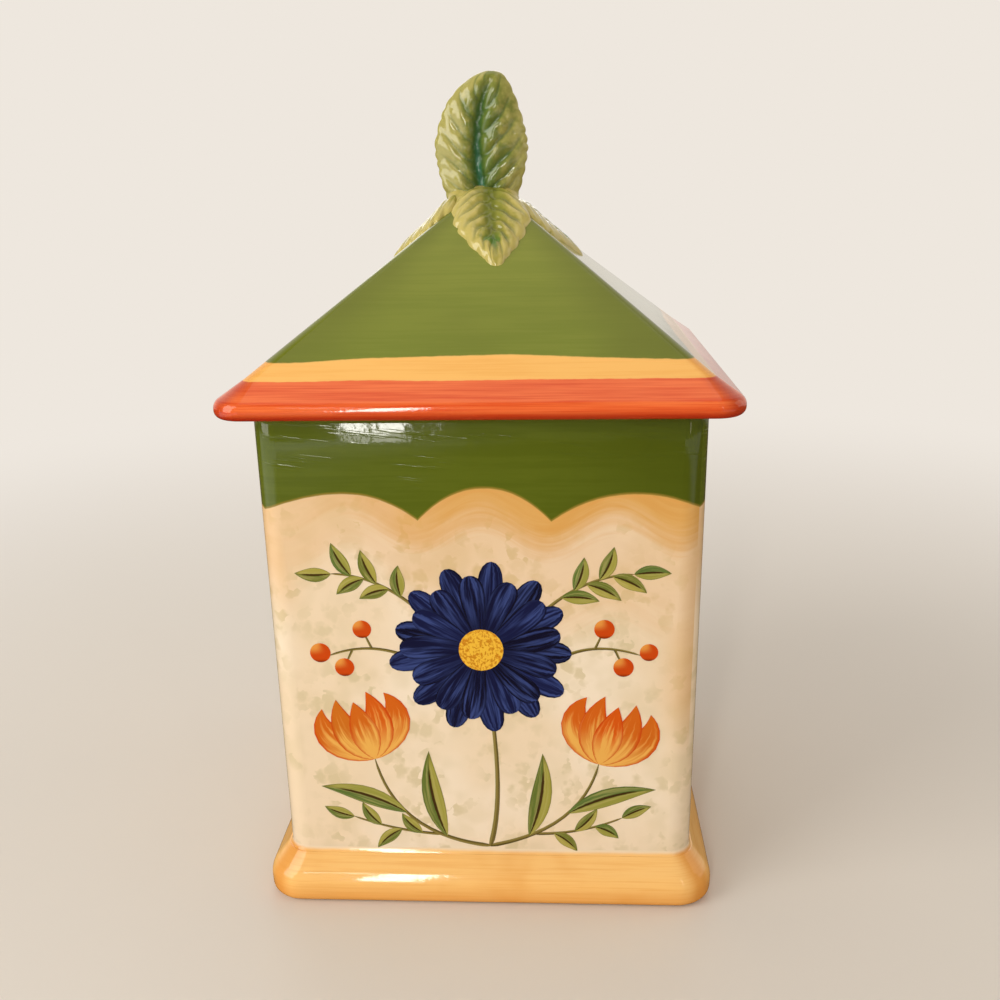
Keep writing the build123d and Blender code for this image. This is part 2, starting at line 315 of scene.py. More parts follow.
print("glaze: roughness", GLAZE_ROUGHNESS, "index", GLAZE_INDEX)

# %% [markdown]
# ## Measuring the cast pieces
# Paint and leaves have to land on the cast pieces even if a size changes, so places are measured and not
# typed in twice. A ray cast against the triangles of a piece works like a straight probe: it gives the
# first point that it touches, and the way the surface faces there.

# %% Probe and paint
def probe(node, start, direction):
    """The first point of a cast piece that a probe touches, in millimetres, and the normal there."""
    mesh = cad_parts[node].data
    corners = [vert.co for vert in mesh.vertices]
    tree = BVHTree.FromPolygons(corners, [face.vertices[:] for face in mesh.polygons])
    place, normal = tree.ray_cast(Vector(start) * MM, Vector(direction))[:2]
    return place / MM, normal


def paint_node(node, material):
    """Gives a cast piece of the frame its glaze."""
    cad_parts[node].data.materials.clear()
    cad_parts[node].data.materials.append(material)


print("cast pieces:", ", ".join(sorted(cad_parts)))

# %% [markdown]
# ## The jar
# The walls are a warm cream, dabbed with a sponge in soft spots of beige. A deep olive band runs round
# the top, and its lower edge is scalloped, three arches to a side, drawn freehand. All the paint follows
# from two numbers, how far along its side a point lies and how high, so the pattern is worked out in the
# material, and no mesh needs cutting. The scalloped edge comes first: each arch is a crest that drops to
# its two ends.

# %% Scalloped edge
JAR_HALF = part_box("jar_body")[1].x / MM
ARCHES = (  # left end, middle and right end of each arch, as places along the wall and heights
    ((-72.4, 142.2), (-43.0, 148.8), (-20.0, 139.8)),
    ((-20.0, 139.8), (1.8, 150.6), (22.8, 139.4)),
    ((22.8, 139.4), (49.5, 148.6), (72.4, 142.2)),
)
ARCH_BEND = 2.1


def scallop_height(recipe, along):
    """The height of the scalloped edge: three arches that meet in points."""
    height = 0.0
    for left, crest, right in ARCHES:
        off_left = recipe.math("SUBTRACT", crest[0], along)
        arch = crest[1]
        for end, off in ((left, off_left), (right, recipe.math("MULTIPLY", off_left, -1.0))):
            share = recipe.math("DIVIDE", recipe.math("MAXIMUM", off, 0.0), abs(end[0] - crest[0]))
            drop = recipe.math("MULTIPLY", recipe.math("POWER", share, ARCH_BEND), crest[1] - end[1])
            arch = recipe.math("SUBTRACT", arch, drop)
        height = recipe.math("MAXIMUM", height, arch)
    return height


print("jar: half width", round(JAR_HALF, 2), "mm,", len(ARCHES), "arches to a side")

# %% [markdown]
# ## Sponge dabs
# A damp sponge leaves small ragged dabs, close together in some places and sparse in others. Noise alone
# makes clouds without edges. A Voronoi texture makes cells, so each cell becomes one dab with a weight of
# its own, a noise bends the edges of the cells, and a slow noise decides where the dabs gather.

# %% Sponge dabs
DAB_SCALE = 0.21  # sponge dabs to a millimetre
DAB_RAGGED = 5.0  # how far their edges are bent, in millimetres


def sponge_dabs(recipe, position):
    """Small ragged dabs where a damp sponge touched the wall, over softer spots, all in drifts."""
    inputs = {"Vector": position, "Scale": 0.35, "Detail": 1.0}
    ragged = recipe.node("ShaderNodeTexNoise", inputs).outputs["Color"]
    ragged = recipe.scaled(recipe.moved(ragged, -0.5, -0.5, -0.5), DAB_RAGGED, DAB_RAGGED, DAB_RAGGED)
    point = recipe.node("ShaderNodeVectorMath", {0: position, 1: ragged}, operation="ADD").outputs[0]
    cells = recipe.node("ShaderNodeTexVoronoi", {"Vector": point, "Scale": DAB_SCALE}).outputs
    weight = recipe.fade(recipe.split(cells["Color"])[0], 0.3, 0.9)
    dabs = recipe.math("MULTIPLY", weight, recipe.fade(cells["Distance"], 0.85, 0.3))
    spots = recipe.fade(recipe.noise(position, 0.12, 1.0, 0.4), 0.42, 0.68, 0.0, 0.4)
    elsewhere = recipe.moved(position, 31.0, 17.0, 5.0)
    drifts = recipe.fade(recipe.noise(elsewhere, 0.05, 1.0), 0.3, 0.55, 0.15, 1.0)
    return recipe.math("MULTIPLY", recipe.math("MAXIMUM", dabs, spots), drifts)


print("sponge dabs about", round(1 / DAB_SCALE, 1), "mm wide")

# %% [markdown]
# ## Ochre under the arches
# Under the arches an ochre shade is brushed in, in long waves that fade downwards. The brush ran dry to
# the left, and a thin wash reaches further down, most of all at the corners. A plain gradient would look
# printed, so depth is measured from a wave and shifted by the streaks, and each layer ends at a depth of
# its own.

# %% Ochre shade
SHADE_WAVE = (144.5, 4.5, 43.0)  # height, half the swing and length of the waves of the brush
SHADE_DEPTH = 24.0
WASH = 0.36  # how much ochre the thin wash below the shade holds
WASH_DEPTHS = (28.0, 48.0)  # how far down it reaches on the left and on the right
CORNER_DEPTHS = (42.0, 90.0)  # and the same for the ochre at the corners


def ochre_shade(recipe, side):
    """How much ochre is brushed in under the arches, and the streaks in it."""
    height, swing, length = SHADE_WAVE
    swell = recipe.math("COSINE", recipe.math("MULTIPLY", side["Along"], 2 * math.pi / length))
    wave = recipe.math("ADD", recipe.math("MULTIPLY", swell, swing), height)
    below = recipe.math("SUBTRACT", wave, side["Height"])
    point = recipe.joined(side["Along"], side["Out"], below)
    strokes = recipe.use(BRUSH_STROKES, position=point, length=34.0, width=6.0)["Strokes"]
    reach = recipe.math("ADD", below, recipe.math("MULTIPLY", strokes, -5.0))
    loaded = recipe.fade(side["Along"], -66.0, 0.0, 0.42, 1.0)
    under_arches = recipe.math("MULTIPLY", recipe.fade(reach, SHADE_DEPTH - 4.0, -2.0), loaded)
    at_corner = recipe.fade(recipe.math("ABSOLUTE", side["Along"]), 54.0, 70.0, 0.0, 0.55)
    past_corner = recipe.math("SUBTRACT", below, recipe.fade(side["Along"], -60.0, 60.0, *CORNER_DEPTHS))
    down_corner = recipe.math("MULTIPLY", at_corner, recipe.fade(past_corner, 0.0, -30.0))
    past_wash = recipe.math("SUBTRACT", reach, recipe.fade(side["Along"], -45.0, 15.0, *WASH_DEPTHS))
    wash = recipe.fade(past_wash, 0.0, -20.0, 0.0, WASH)
    laid_on = recipe.math("MAXIMUM", under_arches, down_corner)
    return recipe.math("MAXIMUM", laid_on, wash), strokes


print("ochre: shade", SHADE_DEPTH, "mm deep, wash up to", WASH_DEPTHS[1], "mm")

# %% [markdown]
# ## Relief in the band
# Towards the rim the wall rounds in by a hair, but the glaze there faces up enough to catch the window,
# and so do a few ridges that the brush left in the band. They could be sculpted, but they are a few
# hundredths of a millimetre high, which no mesh of a sensible size can hold, so both are bumps in the
# glaze.

# %% Band relief
ROUNDED_FROM_Z = 157.5
ROUNDED_BY = 0.007  # millimetres in for each square millimetre up
RIDGE_HEIGHT = 0.045
RIDGE_TILT = 0.12


def band_relief(recipe, position, side, above, ripple):
    """The height of the glaze: its ripple, the rounding towards the rim and the ridges in the band."""
    waver = recipe.math("MULTIPLY", recipe.noise(recipe.scaled(position, 0.05, 0.05, 0.02), 1.0, 1.0), 3.0)
    start = recipe.math("ADD", waver, ROUNDED_FROM_Z)
    past = recipe.math("MAXIMUM", recipe.math("SUBTRACT", side["Height"], start), 0.0)
    rounded = recipe.math("MULTIPLY", recipe.math("POWER", past, 2.0), ROUNDED_BY)
    tilted = recipe.math("ADD", side["Height"], recipe.math("MULTIPLY", side["Along"], RIDGE_TILT))
    aslant = recipe.joined(side["Along"], side["Out"], tilted)
    loaded = recipe.use(BRUSH_STROKES, position=aslant, length=34.0, width=3.4)["Strokes"]
    ridges = recipe.fade(loaded, 0.68, 0.95, 0.0, RIDGE_HEIGHT)
    ridges = recipe.math("MULTIPLY", ridges, recipe.fade(above, 8.0, 13.0))
    return recipe.math("ADD", recipe.math("SUBTRACT", ripple, rounded), ridges)


print("band: rounded in from", ROUNDED_FROM_Z, "mm up, ridges", RIDGE_HEIGHT, "mm high")

# %% [markdown]
# ## The jar's glaze
# The layers go on as on the real jar: cream, sponge, ochre, and at last the green band, with a thin brown
# line where its slip ends. Inside, the jar is plain ivory. A point is inside if it lies nearer to the
# axis than the middle of the wall, so one material can do both.

# %% Jar glaze
JAR_INSIDE_OUT = JAR_HALF - 3.6  # the middle of the wall's thickness, where the outside paint stops

BAND_GREEN = paint(86, 98, 20)
BAND_GREEN_THIN = paint(108, 120, 38)
# painted shade: the band's green towards the right end of each side
BAND_GREEN_SHADED = paint(72, 82, 12)
BAND_EDGE = paint(156, 130, 52)
CREAM = paint(245, 228, 204)
CREAM_WARM = paint(239, 217, 186)
SPONGE = paint(212, 194, 152)
OCHRE = paint(226, 176, 104)
OCHRE_DEEP = paint(216, 154, 72)


def make_jar_glaze():
    material, recipe, shader, position = start_glaze("jar_painted_glaze")
    side = recipe.use(SQUARE_SIDES, position=position)
    stray = recipe.use(HAND_LINE, position=position, wander=0.35)["Stray"]
    edge = recipe.math("ADD", scallop_height(recipe, side["Along"]), stray)
    above = recipe.math("SUBTRACT", side["Height"], edge)
    strokes = recipe.use(BRUSH_STROKES, position=position, length=30.0, width=3.4)["Strokes"]
    cream = recipe.mix(recipe.fade(recipe.noise(position, 0.025, 2.0), 0.35, 0.65), CREAM, CREAM_WARM)
    ground = recipe.mix(recipe.math("MULTIPLY", sponge_dabs(recipe, position), 0.75), cream, SPONGE)
    shade, shade_strokes = ochre_shade(recipe, side)
    ochre = recipe.mix(recipe.fade(shade_strokes, 0.0, 1.0, 0.2, 0.55), OCHRE, OCHRE_DEEP)
    wall = recipe.mix(shade, ground, ochre)
    band = recipe.mix(recipe.fade(strokes, 0.2, 1.0, 0.0, 0.22), BAND_GREEN, BAND_GREEN_THIN)
    # painted shade: the band darkens towards the right end of each side
    band = recipe.mix(recipe.fade(side["Along"], 10.0, 70.0, 0.0, 0.7), band, BAND_GREEN_SHADED)
    band = recipe.mix(recipe.fade(above, 1.0, 0.2, 0.0, 0.8), band, BAND_EDGE)
    outside = recipe.mix(recipe.fade(above, -0.2, 0.2), wall, band)
    inside = recipe.math("LESS_THAN", side["Out"], JAR_INSIDE_OUT)
    recipe.feed(shader.inputs["Base Color"], recipe.mix(inside, outside, ivory_slip(recipe, position)))
    bump = material.node_tree.nodes["Bump"].inputs["Height"]
    recipe.feed(bump, band_relief(recipe, position, side, above, bump.links[0].from_socket))
    return material


JAR_GLAZE = make_jar_glaze()
paint_node("jar_body", JAR_GLAZE)
print("jar painted:", len(JAR_GLAZE.node_tree.nodes), "nodes")

# %% [markdown]
# ## The roof
# The lid has three bands: coral round the eave, a narrow warm yellow above it, and olive green on the
# slopes. The bands are painted by height, and the underside is told from the outside by the roof's slope
# and peak, so these are measured first. They could be copied from the drawing, but the probe can find
# both: it touches one slope, and the slope is extended to the axis.

# %% Roof sizes
roof_low, roof_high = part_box("lid_roof")
slope_point, slope_normal = probe("lid_roof", (0, -200, 205), (0, 1, 0))
ROOF_SLOPE = -slope_normal.y / slope_normal.z
APEX_Z = slope_point.z - slope_point.y * ROOF_SLOPE
EAVE_Z = roof_low.z / MM
CORAL_TOP_Z = 185.6
YELLOW_TOP_Z = 190.4
YELLOW_ARCH = 1.6  # how much higher the yellow reaches in the middle of a side
UNDERSIDE_DEPTH = 4.8
EAVE_WRAP = 3.0  # how far the coral goes on under the eave
print("roof: slope", round(ROOF_SLOPE, 3), "apex at", round(APEX_Z, 1), "mm")

# %% [markdown]
# ## The roof's glaze
# The bands were brushed level, side after side, so the streaks run level too, and the borders wander. The
# green is painted paler towards the peak, a painted light, paler again where the strokes ran thin, and deep
# along the hips, where the strokes of two sides overlap.
# Underneath, where the brush never went, the lid is ivory. A point belongs to the underside if it lies
# more than a paint edge below the roof's own slope, which tells the hollow from the outside without
# looking at normals.

# %% Roof glaze
ROOF_GREEN = paint(114, 125, 20)
ROOF_GREEN_LIT_AND_THIN = paint(134, 141, 40)
ROOF_GREEN_DEEP = paint(104, 111, 14)
CORAL = paint(221, 78, 30)
CORAL_DEEP_AND_SHADED = paint(172, 42, 10)
CORAL_THIN = paint(244, 119, 61)
BAND_YELLOW = paint(250, 190, 100)
BAND_YELLOW_DEEP = paint(238, 160, 62)


def make_roof_glaze():
    material, recipe, shader, position = start_glaze("roof_painted_glaze", swell=0.12, peel=0.02)
    side = recipe.use(SQUARE_SIDES, position=position)
    strokes = recipe.use(BRUSH_STROKES, position=position, length=42.0, width=1.7)["Strokes"]
    broad = recipe.noise(position, 0.02, 2.0)
    # painted light: the green turns paler towards the peak, and paler again where the strokes ran thin
    thin = recipe.fade(side["Height"], 195.0, 235.0, 0.0, 0.8)
    thin = recipe.math("ADD", thin, recipe.fade(strokes, 0.1, 0.9, 0.0, 0.3))
    green = recipe.mix(thin, ROOF_GREEN, ROOF_GREEN_LIT_AND_THIN)
    deep = recipe.fade(side["Corner"], 0.45, 1.0, 0.0, 0.7)
    deep = recipe.math("ADD", deep, recipe.fade(broad, 0.45, 0.7, 0.0, 0.4))
    green = recipe.mix(deep, green, ROOF_GREEN_DEEP)
    yellow = recipe.mix(recipe.fade(strokes, 0.3, 1.0, 0.0, 0.35), BAND_YELLOW, BAND_YELLOW_DEEP)
    yellow = recipe.mix(recipe.fade(side["Corner"], 0.94, 0.99, 0.0, 0.7), yellow, BAND_YELLOW_DEEP)
    fine = recipe.use(BRUSH_STROKES, position=position, length=42.0, width=1.0)["Strokes"]
    coral = recipe.mix(fine, CORAL_THIN, CORAL)
    # painted shade: the coral darkens towards the bottom of the eave, where it turns under
    coral = recipe.mix(recipe.fade(side["Height"], EAVE_Z + 4.0, EAVE_Z + 0.5), coral, CORAL_DEEP_AND_SHADED)
    coral = recipe.mix(recipe.fade(side["Corner"], 0.9, 0.99, 0.0, 0.6), coral, CORAL_DEEP_AND_SHADED)
    stray = recipe.use(HAND_LINE, position=position, wander=0.4)["Stray"]
    level = recipe.math("ADD", side["Height"], stray)
    arched = recipe.fade(side["Corner"], 1.0, 0.1, 0.0, YELLOW_ARCH)
    in_yellow = recipe.math("SUBTRACT", level, recipe.math("ADD", arched, YELLOW_TOP_Z))
    outside = recipe.mix(recipe.fade(level, CORAL_TOP_Z - 0.15, CORAL_TOP_Z + 0.15), coral, yellow)
    outside = recipe.mix(recipe.fade(in_yellow, -0.2, 0.2), outside, green)
    slope_z = recipe.math("SUBTRACT", APEX_Z, recipe.math("MULTIPLY", side["Out"], ROOF_SLOPE))
    depth = recipe.math("SUBTRACT", slope_z, side["Height"])
    wrapped = recipe.fade(side["Height"], EAVE_Z + 2.5, EAVE_Z + 1.5, 0.0, EAVE_WRAP)
    depth = recipe.math("SUBTRACT", depth, wrapped)
    under = recipe.fade(depth, UNDERSIDE_DEPTH - 0.3, UNDERSIDE_DEPTH + 0.3)
    recipe.feed(shader.inputs["Base Color"], recipe.mix(under, outside, ivory_slip(recipe, position)))
    return material


ROOF_GLAZE = make_roof_glaze()
paint_node("lid_roof", ROOF_GLAZE)
print("roof painted:", len(ROOF_GLAZE.node_tree.nodes), "nodes")

# %% [markdown]
# ## The plinth
# The foot is one warm yellow-ochre, brushed along each side. It is thin on the shoulder, darker in patches
# where the glaze gathered, darker towards the bottom, and painted darker at the corners as painted shade.
# The very bottom was wiped clean before firing, so that it wouldn't stick to the kiln shelf: there the clay
# is bare, matt and pale.

# %% Plinth glaze
plinth_low, plinth_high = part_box("base_plinth")
WIPED_Z = 0.7
PLINTH_PAINT_OVER = 1.1  # how far the paint goes on above the plinth

PLINTH_YELLOW = paint(251, 195, 115)
PLINTH_YELLOW_THIN = paint(250, 200, 126)
PLINTH_OCHRE_AND_SHADE = paint(228, 150, 62)


def make_plinth_glaze():
    material, recipe, shader, position = start_glaze("plinth_painted_glaze", swell=0.12, peel=0.02)
    side = recipe.use(SQUARE_SIDES, position=position)
    strokes = recipe.use(BRUSH_STROKES, position=position, length=36.0, width=0.9)["Strokes"]
    thin = recipe.fade(side["Height"], 8.0, 13.0, 0.25, 0.75)
    thin = recipe.math("MULTIPLY", recipe.fade(strokes, 1.0, 0.0, 0.6, 1.0), thin)
    colour = recipe.mix(thin, PLINTH_YELLOW, PLINTH_YELLOW_THIN)
    colour = recipe.mix(recipe.fade(strokes, 0.35, 1.0, 0.0, 0.26), colour, PLINTH_OCHRE_AND_SHADE)
    gathered = recipe.fade(recipe.noise(position, 0.05, 2.0), 0.5, 0.8, 0.0, 0.4)
    colour = recipe.mix(gathered, colour, PLINTH_OCHRE_AND_SHADE)
    # painted shade: the corners are painted darker
    colour = recipe.mix(recipe.fade(side["Corner"], 0.88, 0.98, 0.0, 0.75), colour, PLINTH_OCHRE_AND_SHADE)
    colour = recipe.mix(recipe.fade(side["Height"], 9.0, 1.0, 0.0, 0.6), colour, PLINTH_OCHRE_AND_SHADE)
    stray = recipe.use(HAND_LINE, position=position, wander=0.45)["Stray"]
    painted = recipe.math("ADD", side["Height"], stray)
    edge_z = plinth_high.z / MM + PLINTH_PAINT_OVER
    colour = recipe.mix(recipe.fade(painted, edge_z - 0.9, edge_z + 0.6), colour, CREAM_WARM)
    bare = recipe.fade(side["Height"], WIPED_Z, WIPED_Z - 0.4)
    recipe.feed(shader.inputs["Base Color"], recipe.mix(bare, colour, BISCUIT))
    recipe.feed(shader.inputs["Roughness"], recipe.fade(bare, 0.0, 1.0, GLAZE_ROUGHNESS, 0.85))
    return material


PLINTH_GLAZE = make_plinth_glaze()
paint_node("base_plinth", PLINTH_GLAZE)
print("plinth:", round((plinth_high.z - plinth_low.z) / MM, 1), "mm tall, wiped below", WIPED_Z, "mm")

# %% [markdown]
# ## The collar and its seal
# When the lid is lifted, its collar shows: ivory clay under clear glaze. The ring stretched round it is
# soft milky silicone, which is smooth but not shiny and soon carries a little dust.

# %% Collar glaze and seal
SILICONE = paint(226, 224, 216)
SILICONE_DUSTY = paint(204, 200, 188)
SILICONE_INDEX = 1.41


def make_collar_glaze():
    material, recipe, shader, position = start_glaze("collar_ivory_glaze")
    recipe.feed(shader.inputs["Base Color"], ivory_slip(recipe, position))
    return material


def make_seal_silicone():
    material, recipe, shader, position = start_glaze("seal_milky_silicone", swell=0.1, peel=0.02)
    dust = recipe.fade(recipe.noise(position, 0.25, 4.0, 0.6), 0.4, 0.75)
    recipe.feed(shader.inputs["Base Color"], recipe.mix(dust, SILICONE, SILICONE_DUSTY))
    recipe.feed(shader.inputs["Roughness"], recipe.fade(dust, 0.0, 1.0, 0.32, 0.55))
    shader.inputs["IOR"].default_value = SILICONE_INDEX
    return material


paint_node("lid_collar", make_collar_glaze())
paint_node("lid_seal", make_seal_silicone())
print("collar and seal painted")

# %% [markdown]
# ## Sculpting a leaf
# The leaves were pressed from clay: thick in the middle, thin at the rim, with a groove for the midrib,
# slanting side veins, and soft cushions between them. A flat grid could be pushed about by a displacement
# texture, but then the veins wouldn't follow the leaf's outline. So a square grid is bent into the
# outline first: across runs from -1 to 1 and along from 0 at the base to 1 at the tip, and the relief is
# worked out from those two: two cheeks that fall away to the rims, with the midrib as a deep groove
# between them.

# %% Leaf shapes
class LeafShape:
    """The sizes and habits of one leaf. Sizes are in millimetres, the others are shares of 1."""

    def __init__(self, width, thickness, outline, lobes, veins, cushions, midrib, fall, taper):
        self.width, self.thickness = width, thickness
        self.widest, self.base, self.point, self.blunt = outline
        self.lobes, self.lobe_depth = lobes
        self.veins, self.vein_rise, self.vein_width, self.vein_depth, self.vein_pool = veins
        self.midrib_width, self.midrib_depth, self.sway = midrib
        self.fall = fall  # how much the cheeks fall away from the midrib to the rim
        self.taper = taper  # the share of the length in which the leaf thickens from its base
        self.puff, self.bumps = cushions  # how high the cushions between the veins are, and how uneven

    def half_width(self, across, along):
        """Half the width at a share of the length, with the rim's uneven lobes."""
        if along < self.widest:
            half = 1 - self.base * ((self.widest - along) / self.widest) ** 1.5
        else:
            half = max(0.0, 1 - ((along - self.widest) / (1 - self.widest)) ** 1.5) ** self.point
        uneven = 0.8 * noise.noise(Vector((along * 4, self.width, 3.0 if across > 0 else 0.0)))
        lobe = abs(math.sin(math.pi * (self.lobes * along + uneven))) - 1
        blunt = max(half, self.blunt * (1 - along**18) ** 0.5)
        return self.width / 2 * blunt * (1 + self.lobe_depth * lobe * abs(across) ** 3)

    def from_midrib(self, across, along):
        """How far a point lies to the right of the midrib, which snakes a little."""
        return across * self.half_width(across, along) + self.sway * math.sin(5.0 * (along - 0.12))

    def side_vein(self, across, along, right):
        """How deep a point lies in a side vein, 0 to 1, and how high on the cushion between two."""
        uneven = 0.35 * noise.noise(Vector((across * 2.5, along * 3, self.width)))
        stagger = 0.35 if right else 0.0
        phase = self.veins * (along - self.vein_rise * abs(across) ** 1.1) + stagger + uneven
        off_vein = abs(phase - math.floor(phase) - 0.5) * 2
        return math.exp(-((off_vein / self.vein_width) ** 2)), math.sin(off_vein * math.pi / 2)

    def relief(self, across, along):
        """Half the leaf's thickness at a point, and how deep the point lies in a groove, 0 to 1."""
        place = self.from_midrib(across, along)
        rim = (1 - abs(across) ** 4) ** 0.5 * (1 - along**9) ** 0.5 * min(1.0, along / self.taper) ** 0.6
        cheek = 1 - self.fall * max(0.0, (abs(across) - 0.26) / 0.74) ** 1.3
        midrib = math.exp(-((place / (self.midrib_width * (1 - 0.55 * along))) ** 2)) * (1 - along**5)
        vein, cushion = self.side_vein(across, along, place > 0)
        vein *= min(1.0, abs(place) / 2.0) * (1 - abs(across) ** 5)
        dent = noise.noise(Vector((across * 3 + self.width, along * 6, self.thickness)))
        pebble = noise.noise(Vector((across * 5, along * 10 + self.width, self.thickness)))
        height = cheek * (0.86 - self.midrib_depth * midrib)
        folds = self.puff * cushion + self.bumps * (2 * cushion * pebble + dent) - self.vein_depth * vein
        height += folds * (1 - 0.65 * abs(across) ** 1.5) * (1 - along**6)
        return max(0.0, self.thickness / 2 * rim * height), max(midrib, self.vein_pool * vein)


print("a leaf shape works out:", ", ".join(habit for habit in vars(LeafShape) if not habit.startswith("_")))

# %% [markdown]
# ## Clay for a leaf
# One face of the leaf is a grid that is bent and raised as its shape says, with more rows near the tip
# and more columns near the rims, where the outline turns most. The mirror operator makes the other face
# and closes the rim. Across and along stay on the mesh as attributes, with the depth of the grooves, so
# that the glaze can pool where the clay is low.

# %% Leaf clay
LEAF_COLUMNS = 64
LEAF_ROWS = 90


def leaf_clay(shape, length):
    """A leaf in clay, in millimetres, along +Z from the origin, with its faces towards -Y and +Y."""
    clay = bmesh.new()
    bmesh.ops.create_grid(clay, x_segments=LEAF_COLUMNS, y_segments=LEAF_ROWS, size=1.0)
    layer = {name: clay.verts.layers.float.new(name) for name in ("across", "along", "groove")}
    for vert in clay.verts:
        across = math.sin(vert.co.x * math.pi / 2)
        along = 1 - (1 - (vert.co.y + 1) / 2) ** 1.4
        depth, groove = shape.relief(across, along)
        vert[layer["across"]], vert[layer["along"]], vert[layer["groove"]] = across, along, groove
        vert.co = (across * shape.half_width(across, along), -depth, along * length)
    bmesh.ops.remove_doubles(clay, verts=clay.verts[:], dist=1e-4)
    both = clay.verts[:] + clay.edges[:] + clay.faces[:]
    bmesh.ops.mirror(clay, geom=both, matrix=Matrix.Identity(4), merge_dist=1e-4, axis="Y")
    bmesh.ops.remove_doubles(clay, verts=clay.verts[:], dist=1e-4)
    bmesh.ops.recalc_face_normals(clay, faces=clay.faces[:])
    return clay, layer


print("leaf grid:", LEAF_COLUMNS, "by", LEAF_ROWS)

# %% [markdown]
# ## From clay to a piece
# A bmesh is only a workbench. What is made on it, in millimetres, is scaled to metres, stored as a mesh
# and put into the scene as an object at the origin. Then it is told which body carries it, so that the
# parts of the lid rise with the lid, and which of the part's materials it shows.

# %% Finished pieces
def finish_piece(name, clay, material, body):
    """Turns a bmesh in millimetres into a smooth piece that rides on a body."""
    bmesh.ops.scale(clay, vec=(MM, MM, MM), verts=clay.verts[:])
    mesh = bpy.data.meshes.new(name)
    clay.to_mesh(mesh)
    clay.free()
    mesh.shade_smooth()
    mesh.materials.append(material)
    piece = bpy.data.objects.new(name, mesh)
    bpy.context.scene.collection.objects.link(piece)
    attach(piece, body)
    return piece


# %% [markdown]
# ## The glaze on the leaves
# The leaves carry a translucent green glaze. It ran off the high places and pooled in the grooves, so the
# rims are a thin yellow-olive and the grooves a deep green. On the upright leaf the thickest pool, low in
# the midrib, turns blue-green. The draped leaves got less of it: they are paler, with one fresh green
# patch near the tip. The sculpted groove depth drives the colour, so paint and relief always agree.

# %% Leaf glaze
# Rim, body, middle and pools of the glaze on the upright leaf and on the draped ones
KNOB_COLOURS = (paint(174, 167, 94), paint(132, 134, 58), paint(96, 118, 52), paint(62, 98, 46))
DRAPE_COLOURS = (paint(200, 185, 106), paint(172, 160, 78), paint(140, 142, 56), paint(110, 116, 40))
LEAF_JADE = paint(54, 118, 88)
LEAF_FRESH = paint(78, 120, 40)
LEAF_GLAZE_INDEX = 1.65  # a thicker, richer glaze than on the walls


def make_leaf_glaze(name, colours, jade, fresh, uneven):
    """How blue-green the deepest pool is, how fresh the patch near the tip, and how much paler the left
    half is painted than the right, a painted light from the left.
    """
    material, recipe, shader, position = start_glaze(name, swell=0.1, peel=0.02)
    shader.inputs["IOR"].default_value = LEAF_GLAZE_INDEX
    rim, body, middle, pool = colours
    sideways = recipe.attribute("across")
    across = recipe.math("ABSOLUTE", sideways)
    # painted light: the left half is pushed towards the pale rim colour and the right half towards the
    # darker body, as if lit from the left
    across = recipe.math("SUBTRACT", across, recipe.math("MULTIPLY", sideways, uneven))
    along = recipe.attribute("along")
    groove = recipe.attribute("groove")
    patches = recipe.math("SUBTRACT", recipe.noise(position, 0.14, 3.0), 0.5)
    flecks = recipe.math("SUBTRACT", recipe.noise(position, 0.5, 2.0), 0.5)
    mottle = recipe.math("ADD", recipe.math("MULTIPLY", patches, 1.1), recipe.math("MULTIPLY", flecks, 0.6))
    run = recipe.math("ADD", across, mottle)
    colour = recipe.mix(recipe.fade(run, 0.25, 0.8), body, rim)
    inner = recipe.math("MULTIPLY", recipe.fade(run, 0.6, 0.0), recipe.fade(along, 1.0, 0.7, 0.2, 0.9))
    colour = recipe.mix(inner, colour, middle)
    colour = recipe.mix(recipe.fade(groove, 0.15, 0.8, 0.0, 0.9), colour, pool)
    low_down = recipe.fade(along, 0.75, 0.3, 0.0, jade)
    deepest = recipe.math("MULTIPLY", recipe.fade(groove, 0.7, 1.0), low_down)
    colour = recipe.mix(deepest, colour, LEAF_JADE)
    off_patch = recipe.math("ABSOLUTE", recipe.math("SUBTRACT", along, 0.78))
    patch = recipe.fade(off_patch, 0.13, 0.02, 0.0, fresh)
    patch = recipe.math("MULTIPLY", patch, recipe.fade(run, 0.4, 0.1))
    recipe.feed(shader.inputs["Base Color"], recipe.mix(patch, colour, LEAF_FRESH))
    return material


KNOB_GLAZE = make_leaf_glaze("knob_leaf_glaze", KNOB_COLOURS, jade=0.8, fresh=0.0, uneven=0.24)
DRAPE_GLAZE = make_leaf_glaze("draped_leaf_glaze", DRAPE_COLOURS, jade=0.0, fresh=0.8, uneven=0.1)
print("leaf glazes:", KNOB_GLAZE.name, DRAPE_GLAZE.name)

# %% [markdown]
# ## The knob
# One leaf stands upright on the peak. Its tip bends a little to the right, and its rims curl towards the
# front, so that finger and thumb find a hold. A Simple Deform modifier could bend it, but only in one way
# at a time, so the curl, the ruffle and the bend are added point by point, from the numbers that the clay
# carries.

# %% Knob leaf
knob_low, knob_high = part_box("knob_leaf")
KNOB_FOOT_Z = roof_high.z / MM - 0.7
KNOB_LENGTH = knob_high.z / MM - KNOB_FOOT_Z
KNOB_WIDTH = (knob_high.x - knob_low.x) / MM
KNOB_MIDDLE = (knob_high.x + knob_low.x) / 2 / MM - 0.5
KNOB_TIP_BEND = 4.0
KNOB_CURL = 0.6  # how far the rims come forward
KNOB_RUFFLE = 0.5  # how far the rims wave to and fro
KNOB_SHAPE = LeafShape(
    KNOB_WIDTH, thickness=11.0, outline=(0.42, 0.26, 0.48, 0.2), lobes=(11, 0.035),
    veins=(6, 0.36, 0.3, 0.1, 0.55), cushions=(0.18, 0.1), midrib=(2.7, 0.6, 1.4), fall=0.55, taper=0.05,
)


